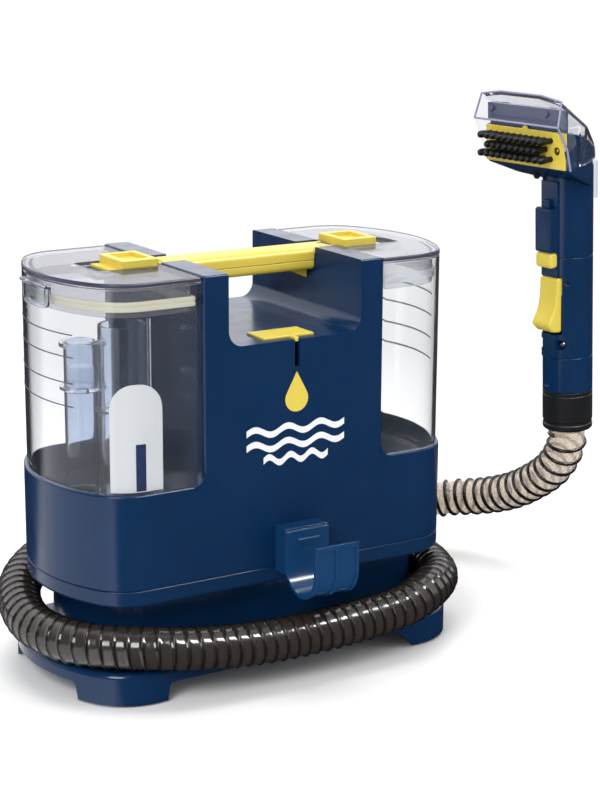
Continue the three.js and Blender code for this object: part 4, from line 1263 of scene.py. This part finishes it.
# ---------------------------------------------------------------- hand tool: head
WEDGE = (
    (47.5, 47.5, 233.5), (47.5, 47.5, 266), (22, 39, 222), (22, 40, 260), (-8, 21, 212), (-8, 21, 246),
    (-19, 9, 212), (-19, 9, 238),
)


def both_sides(corners):
    return [(x, side * y, z) for x, y, z in corners for side in (1, -1)]


def make_head():
    neck = wand_stretch(*NECK)
    head = join(
        neck,
        disc(0, 0, WAND - 0.1, 215, 230, 0.5, 72),
        bevelled(hull(both_sides(WEDGE)), 1.6, 25, 4),
        box(44, 47.4, -44, 44, 262, 283.5, 0.6),
        box(10, 30, -9.6, 9.6, 158.5, 196.5, 2.4, 4),
        box(18, 25.5, -3.5, 3.5, 195, 203, 1.2),
    )
    shank = box(20.4, 27.4, -5.6, 5.6, 150, 190)
    duct = box(-14, 12, -11, 11, 225, 270)
    return bevelled(cut(head, airway(150, 240), shank, duct), 0.5, 60, 2)


piece("head_body", make_head(), "tool_head", NAVY, TOOL)
dark_panel = join(
    box(46.4, 50.3, -44, 44, 269, 283.5, 0.7),
    *[rod((50, y, 279), (52.4, y, 279), 2.5, 24, 0.5) for y in STUDS],
)
piece("head_panel", dark_panel, "tool_head", SLATE, TOOL)


def make_release():
    cap = bevelled(box(20, 29.6, -9.5, 9.5, 145.2, 158.2), 3.2, 40, 5)
    shank = box(20.8, 27, -5.2, 5.2, 156, 180, 0.4)
    return cut(join(cap, shank), disc(0, 0, WAND + 0.7, 140, 160))


piece("release_button", make_release(), "release_button", YELLOW, TOOL)

plate = join(
    box(47.8, 50, -46.5, 46.5, 235, 265, 0.6),
    rod((47.8, 0, 264.5), (50, 0, 264.5), 3, 32, 0.5),
)
plate = cut(plate, rod((40, *HEAD_SCREW), (60, *HEAD_SCREW), 3.4))
piece("brush_plate", plate, "tool_head", YELLOW, TOOL)


TUFT_PITCH = 7.1


def make_bristles():
    """Three staggered rows of round tufts with domed tips."""
    bm = bmesh.new()
    outline = [(2.5, 50.2), (2.4, 52), (2.6, 55), (3.05, 59), (3.1, 61.5), (2.7, 63.4), (1.5, 64.5)]
    sides = 12
    for z, count, first in ((258, 11, -40), (250.5, 9, -32), (243, 11, -40)):
        for i in range(count):
            y = first + i * TUFT_PITCH
            rings = []
            for radius, x in outline:
                turns = ((2 * math.pi * k / sides) for k in range(sides))
                ring = [(x, y + radius * math.cos(a), z + radius * math.sin(a)) for a in turns]
                rings.append([bm.verts.new(point) for point in ring])
            for low, high in zip(rings, rings[1:]):
                for k in range(sides):
                    bm.faces.new((low[k], low[(k + 1) % sides], high[(k + 1) % sides], high[k]))
            bm.faces.new(rings[0])
            bm.faces.new(rings[-1])
    return shape_from(bm)


piece("bristles", make_bristles(), "tool_head", NYLON, TOOL)
piece("head_screw", screw((48.2, *HEAD_SCREW), (1, 0, 0), 2.8, 2.6, 0.4), "tool_head", BRASS, TOOL)

HOOD_CORNERS = (
    (60, 50, 270), (54, 47, 291), (50, 50.5, 252), (54, 24, 294.5), (46, 50, 233.5), (20, 42, 268),
    (22, 42, 226), (-6, 24, 250), (-8, 24, 236), (-20, 12, 240), (-20, 12, 232),
)


def hood_solid(thinner):
    """The hood's outer shape, or its hollow when thinner is 1."""
    wall = 1.9 * thinner
    corners = []
    for x, y, z in HOOD_CORNERS:
        out = x + (2.5 if x > 40 else 1.6) * thinner
        corners.append((out, y - wall, z - wall if z > 245 else z + wall))
    return hull(both_sides(corners))


def make_hood():
    shell = cut(bevelled(hood_solid(0), 1.5, 12, 3), hood_solid(1))
    grown = [(x + math.copysign(0.4, x), y + 0.4, z + (0.4 if z > 235 else -0.4)) for x, y, z in WEDGE]
    rooms = [box(44, 54, y - 4, y + 4, 274, 284) for y in STUDS]
    shell = cut(
        shell,
        hull(both_sides(grown)),
        box(30, 80, -47, 47, 200, 268.5),
        box(-60, 80, -60, 60, 200, 236),
        box(44, 51.2, -44.6, 44.6, 255, 284),
        *rooms,
    )
    return bevelled(shell, 0.3, 50, 2)


piece("suction_hood", make_hood(), "tool_head", HOOD, TOOL)
# Painted reflection: opaque lilac rods along the clear hood's outer edges stand in for the light lines these
# edges show.
HOOD_EDGES = (
    ((60.3, -49.4, 271), (54, -47, 291), (54, -24, 294.3), (54, 24, 294.3), (54, 47, 291), (60.3, 49.4, 271)),
    ((60.3, -49.4, 271), (60.3, 49.4, 271), (50.4, 50, 252), (46.4, 49.6, 234.5)),
)
edges = [rod(a, b, 0.85, 12, 0.1) for line in HOOD_EDGES for a, b in zip(line, line[1:])]
piece("hood_edge", join(*edges), "tool_head", LILAC_EDGE_SHEEN, TOOL)
hood_clip = join(
    box(-24.4, -22.3, -10.9, 10.9, 199, 231, 0.7),
    box(-24.4, -22.2, -8, 8, 203, 206, 0.5),
)
piece("hood_clip", hood_clip, "tool_head", SMOKE_CLIP, TOOL)
nozzle = join(
    rod((34.6, 0, 226), (37.2, 0, 223.4), 2.8, 32, 0.6),
    rod((36.6, 0, 224), (37.9, 0, 222.7), 1.3, 24),
)
piece("spray_nozzle", nozzle, "tool_head", BLACK, TOOL)


# ---------------------------------------------------------------- emblem: a drop over three waves
EMBLEM_FACES = (FRONT - 0.25, FRONT + 0.1)
WAVES, WAVE_HEIGHT = 3, 2.6


def make_drop():
    """A water drop, laid just proud of the tower's front."""
    x, z, radius, tip = 0.5, 221.5, 10.2, 243
    reach = tip - z
    side = math.degrees(math.acos(radius / reach))
    points = arc(x, z, radius, 90 + side, 450 - side, 40) + [(x, tip)]
    return prism(points, "y", *EMBLEM_FACES)


def make_wave(width, z, thickness):
    steps = 48
    line = []
    for i in range(steps + 1):
        x = -width / 2 + width * i / steps
        line.append((x, z + WAVE_HEIGHT * math.sin(2 * math.pi * WAVES * i / steps)))
    top = [(x, y + thickness) for x, y in reversed(line)]
    return prism(line + top, "y", *EMBLEM_FACES)


piece("emblem_drop", make_drop(), "machine", YELLOW)
for number, (width, level) in enumerate(((88, 196), (88, 184.5), (58, 173)), 1):
    piece(f"emblem_wave_{number}", make_wave(width, level, 5), "machine", WHITE)

# ---------------------------------------------------------------- inner CAD pieces keep their shape
INNER = {
    STEEL: ("motor", "trigger_pin", "trigger_spring"),
    COPPER: ("motor_rotor",),
    CREAM: ("fan",),
    DARK_NAVY: ("fan_cover", "intake_duct", "outlet_duct"),
    BLACK: ("water_pump", "power_switch", "spray_valve"),
    BOARD: ("control_board",),
    RUBBER: ("intake_seal", "outlet_seal"),
}
for material, names in INNER.items():
    for name in names:
        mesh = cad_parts[name].data
        mesh.materials.clear()
        mesh.materials.append(material)


# ---------------------------------------------------------------- floor and light
def share_towards(tree, place, angle, start, end):
    """How far a place or a direction lies towards an angle in plan: 0 up to start, 1 from end."""
    axis = (math.cos(angle), math.sin(angle), 0)
    along = node(tree, "VectorMath", {0: place, 1: axis}, operation="DOT_PRODUCT")
    inputs = {"Value": along.outputs["Value"], "From Min": start, "From Max": end}
    return node(tree, "MapRange", inputs).outputs["Result"]


WHITE_WALL = math.radians(172)  # in plan, where the studio's white wall stands at the left
BACKDROP = math.radians(62)


def bounced(tree):
    """1 for light that has been mirrored by something glossy on its way, otherwise 0."""
    depth = node(tree, "LightPath", {}).outputs["Glossy Depth"]
    return node(tree, "Math", {0: depth, 1: 1.0}, operation="MINIMUM").outputs["Value"]


def make_floor():
    """White, and going over into a white backdrop; a gloss sees it dark towards the front."""
    material, tree = new_material("floor")
    place = node(tree, "TexCoord", {}).outputs["Object"]
    blotches = noise(tree, place, 3.0)
    paper = ramp(tree, blotches, (0.3, (0.9, 0.9, 0.905, 1)), (0.7, (0.93, 0.93, 0.93, 1)))
    near = node(tree, "BsdfDiffuse", {"Color": paper})
    far = node(tree, "Emission", {"Color": (1, 1, 1, 1), "Strength": 1.02})
    reach = node(tree, "VectorMath", {0: place}, operation="LENGTH").outputs["Value"]
    away = node(tree, "MapRange", {"Value": reach, "From Min": 0.45, "From Max": 1.1}).outputs["Result"]
    seen = node(tree, "MixShader", {0: away, 1: near.outputs["BSDF"], 2: far.outputs["Emission"]})
    from_end = node(tree, "VectorMath", {0: place, 1: (-0.15, 0, 0)}, operation="SUBTRACT").outputs["Vector"]
    heading = node(tree, "VectorMath", {0: from_end}, operation="NORMALIZE").outputs["Vector"]
    tone = ramp(
        tree,
        share_towards(tree, heading, WHITE_WALL, 0.6, 0.95),
        (0.0, (0.01, 0.011, 0.015, 1)),
        (0.3, (0.62, 0.62, 0.64, 1)),
        (1.0, (0.44, 0.44, 0.45, 1)),
    )
    mirrored = node(tree, "Emission", {"Color": tone, "Strength": 2.2})
    shaders = {1: seen.outputs["Shader"], 2: mirrored.outputs["Emission"]}
    mixed = node(tree, "MixShader", {0: bounced(tree), **shaders})
    surface(tree, mixed.outputs["Shader"])
    bm = bmesh.new()
    bmesh.ops.create_grid(bm, x_segments=8, y_segments=8, size=15)
    floor = shape_from(bm)
    floor.name = "floor"
    floor.data.materials.append(material)


def area_light(name, at, target, size, power, gloss=False, diffuse=True):
    light = bpy.data.objects.new(name, bpy.data.lights.new(name, "AREA"))
    light.data.shape = "RECTANGLE"
    light.data.size, light.data.size_y = size
    light.data.energy = power
    light.visible_glossy = gloss
    light.visible_diffuse = diffuse
    light.visible_transmission = False
    light.location = at
    light.rotation_euler = (Vector(target) - Vector(at)).to_track_quat("-Z", "Y").to_euler()
    scene.collection.objects.link(light)


def make_world():
    """White all round for the eye; a gloss sees it bright behind the machine and dim in front."""
    world = bpy.data.worlds.new("studio")
    scene.world = world
    world.use_nodes = True
    tree = world.node_tree
    tree.nodes.clear()
    path = node(tree, "LightPath", {})
    direction = node(tree, "TexCoord", {}).outputs["Generated"]
    towards = share_towards(tree, direction, BACKDROP, -0.2, 0.5)
    reflected = ramp(tree, towards, (0.0, (0.02, 0.022, 0.03, 1)), (1.0, (1.0, 1.0, 1.02, 1)))
    diffuse = node(tree, "Background", {"Color": (1, 1, 1, 1), "Strength": 0.62})
    mirrored = node(tree, "Background", {"Color": reflected, "Strength": 1.4})
    seen = node(tree, "Background", {"Color": (1, 1, 1, 1), "Strength": 1.05})
    eye_rays = {0: path.outputs["Is Camera Ray"], 1: path.outputs["Is Transmission Ray"]}
    looking = node(tree, "Math", eye_rays, operation="MAXIMUM").outputs["Value"]
    mirror = bounced(tree)
    straight = node(tree, "Math", {0: looking, 1: mirror}, operation="SUBTRACT", use_clamp=True)
    first = node(tree, "MixShader", {
        0: mirror, 1: diffuse.outputs["Background"], 2: mirrored.outputs["Background"],
    })
    second = node(tree, "MixShader", {
        0: straight.outputs["Value"], 1: first.outputs["Shader"], 2: seen.outputs["Background"],
    })
    output = tree.nodes.new("ShaderNodeOutputWorld")
    tree.links.new(second.outputs["Shader"], output.inputs["Surface"])


make_floor()
make_world()
area_light("key", (-1.7, -1.3, 1.5), (-0.1, 0, 0.2), (1.0, 1.0), 34, gloss=True)
area_light("overhead", (0.1, 0.3, 2.1), (0, 0.05, 0.1), (1.8, 1.4), 30)
area_light("strip", (0.5, -1.15, 1.7), (0, -0.05, 0.1), (1.3, 0.3), 50, gloss=True, diffuse=False)
area_light("fill", (1.7, -1.5, 0.9), (0, 0, 0.2), (0.8, 1.2), 10)
area_light("rim", (1.5, 1.4, 1.1), (0, 0, 0.2), (1.0, 1.0), 16)
scene.view_settings.view_transform = "Standard"
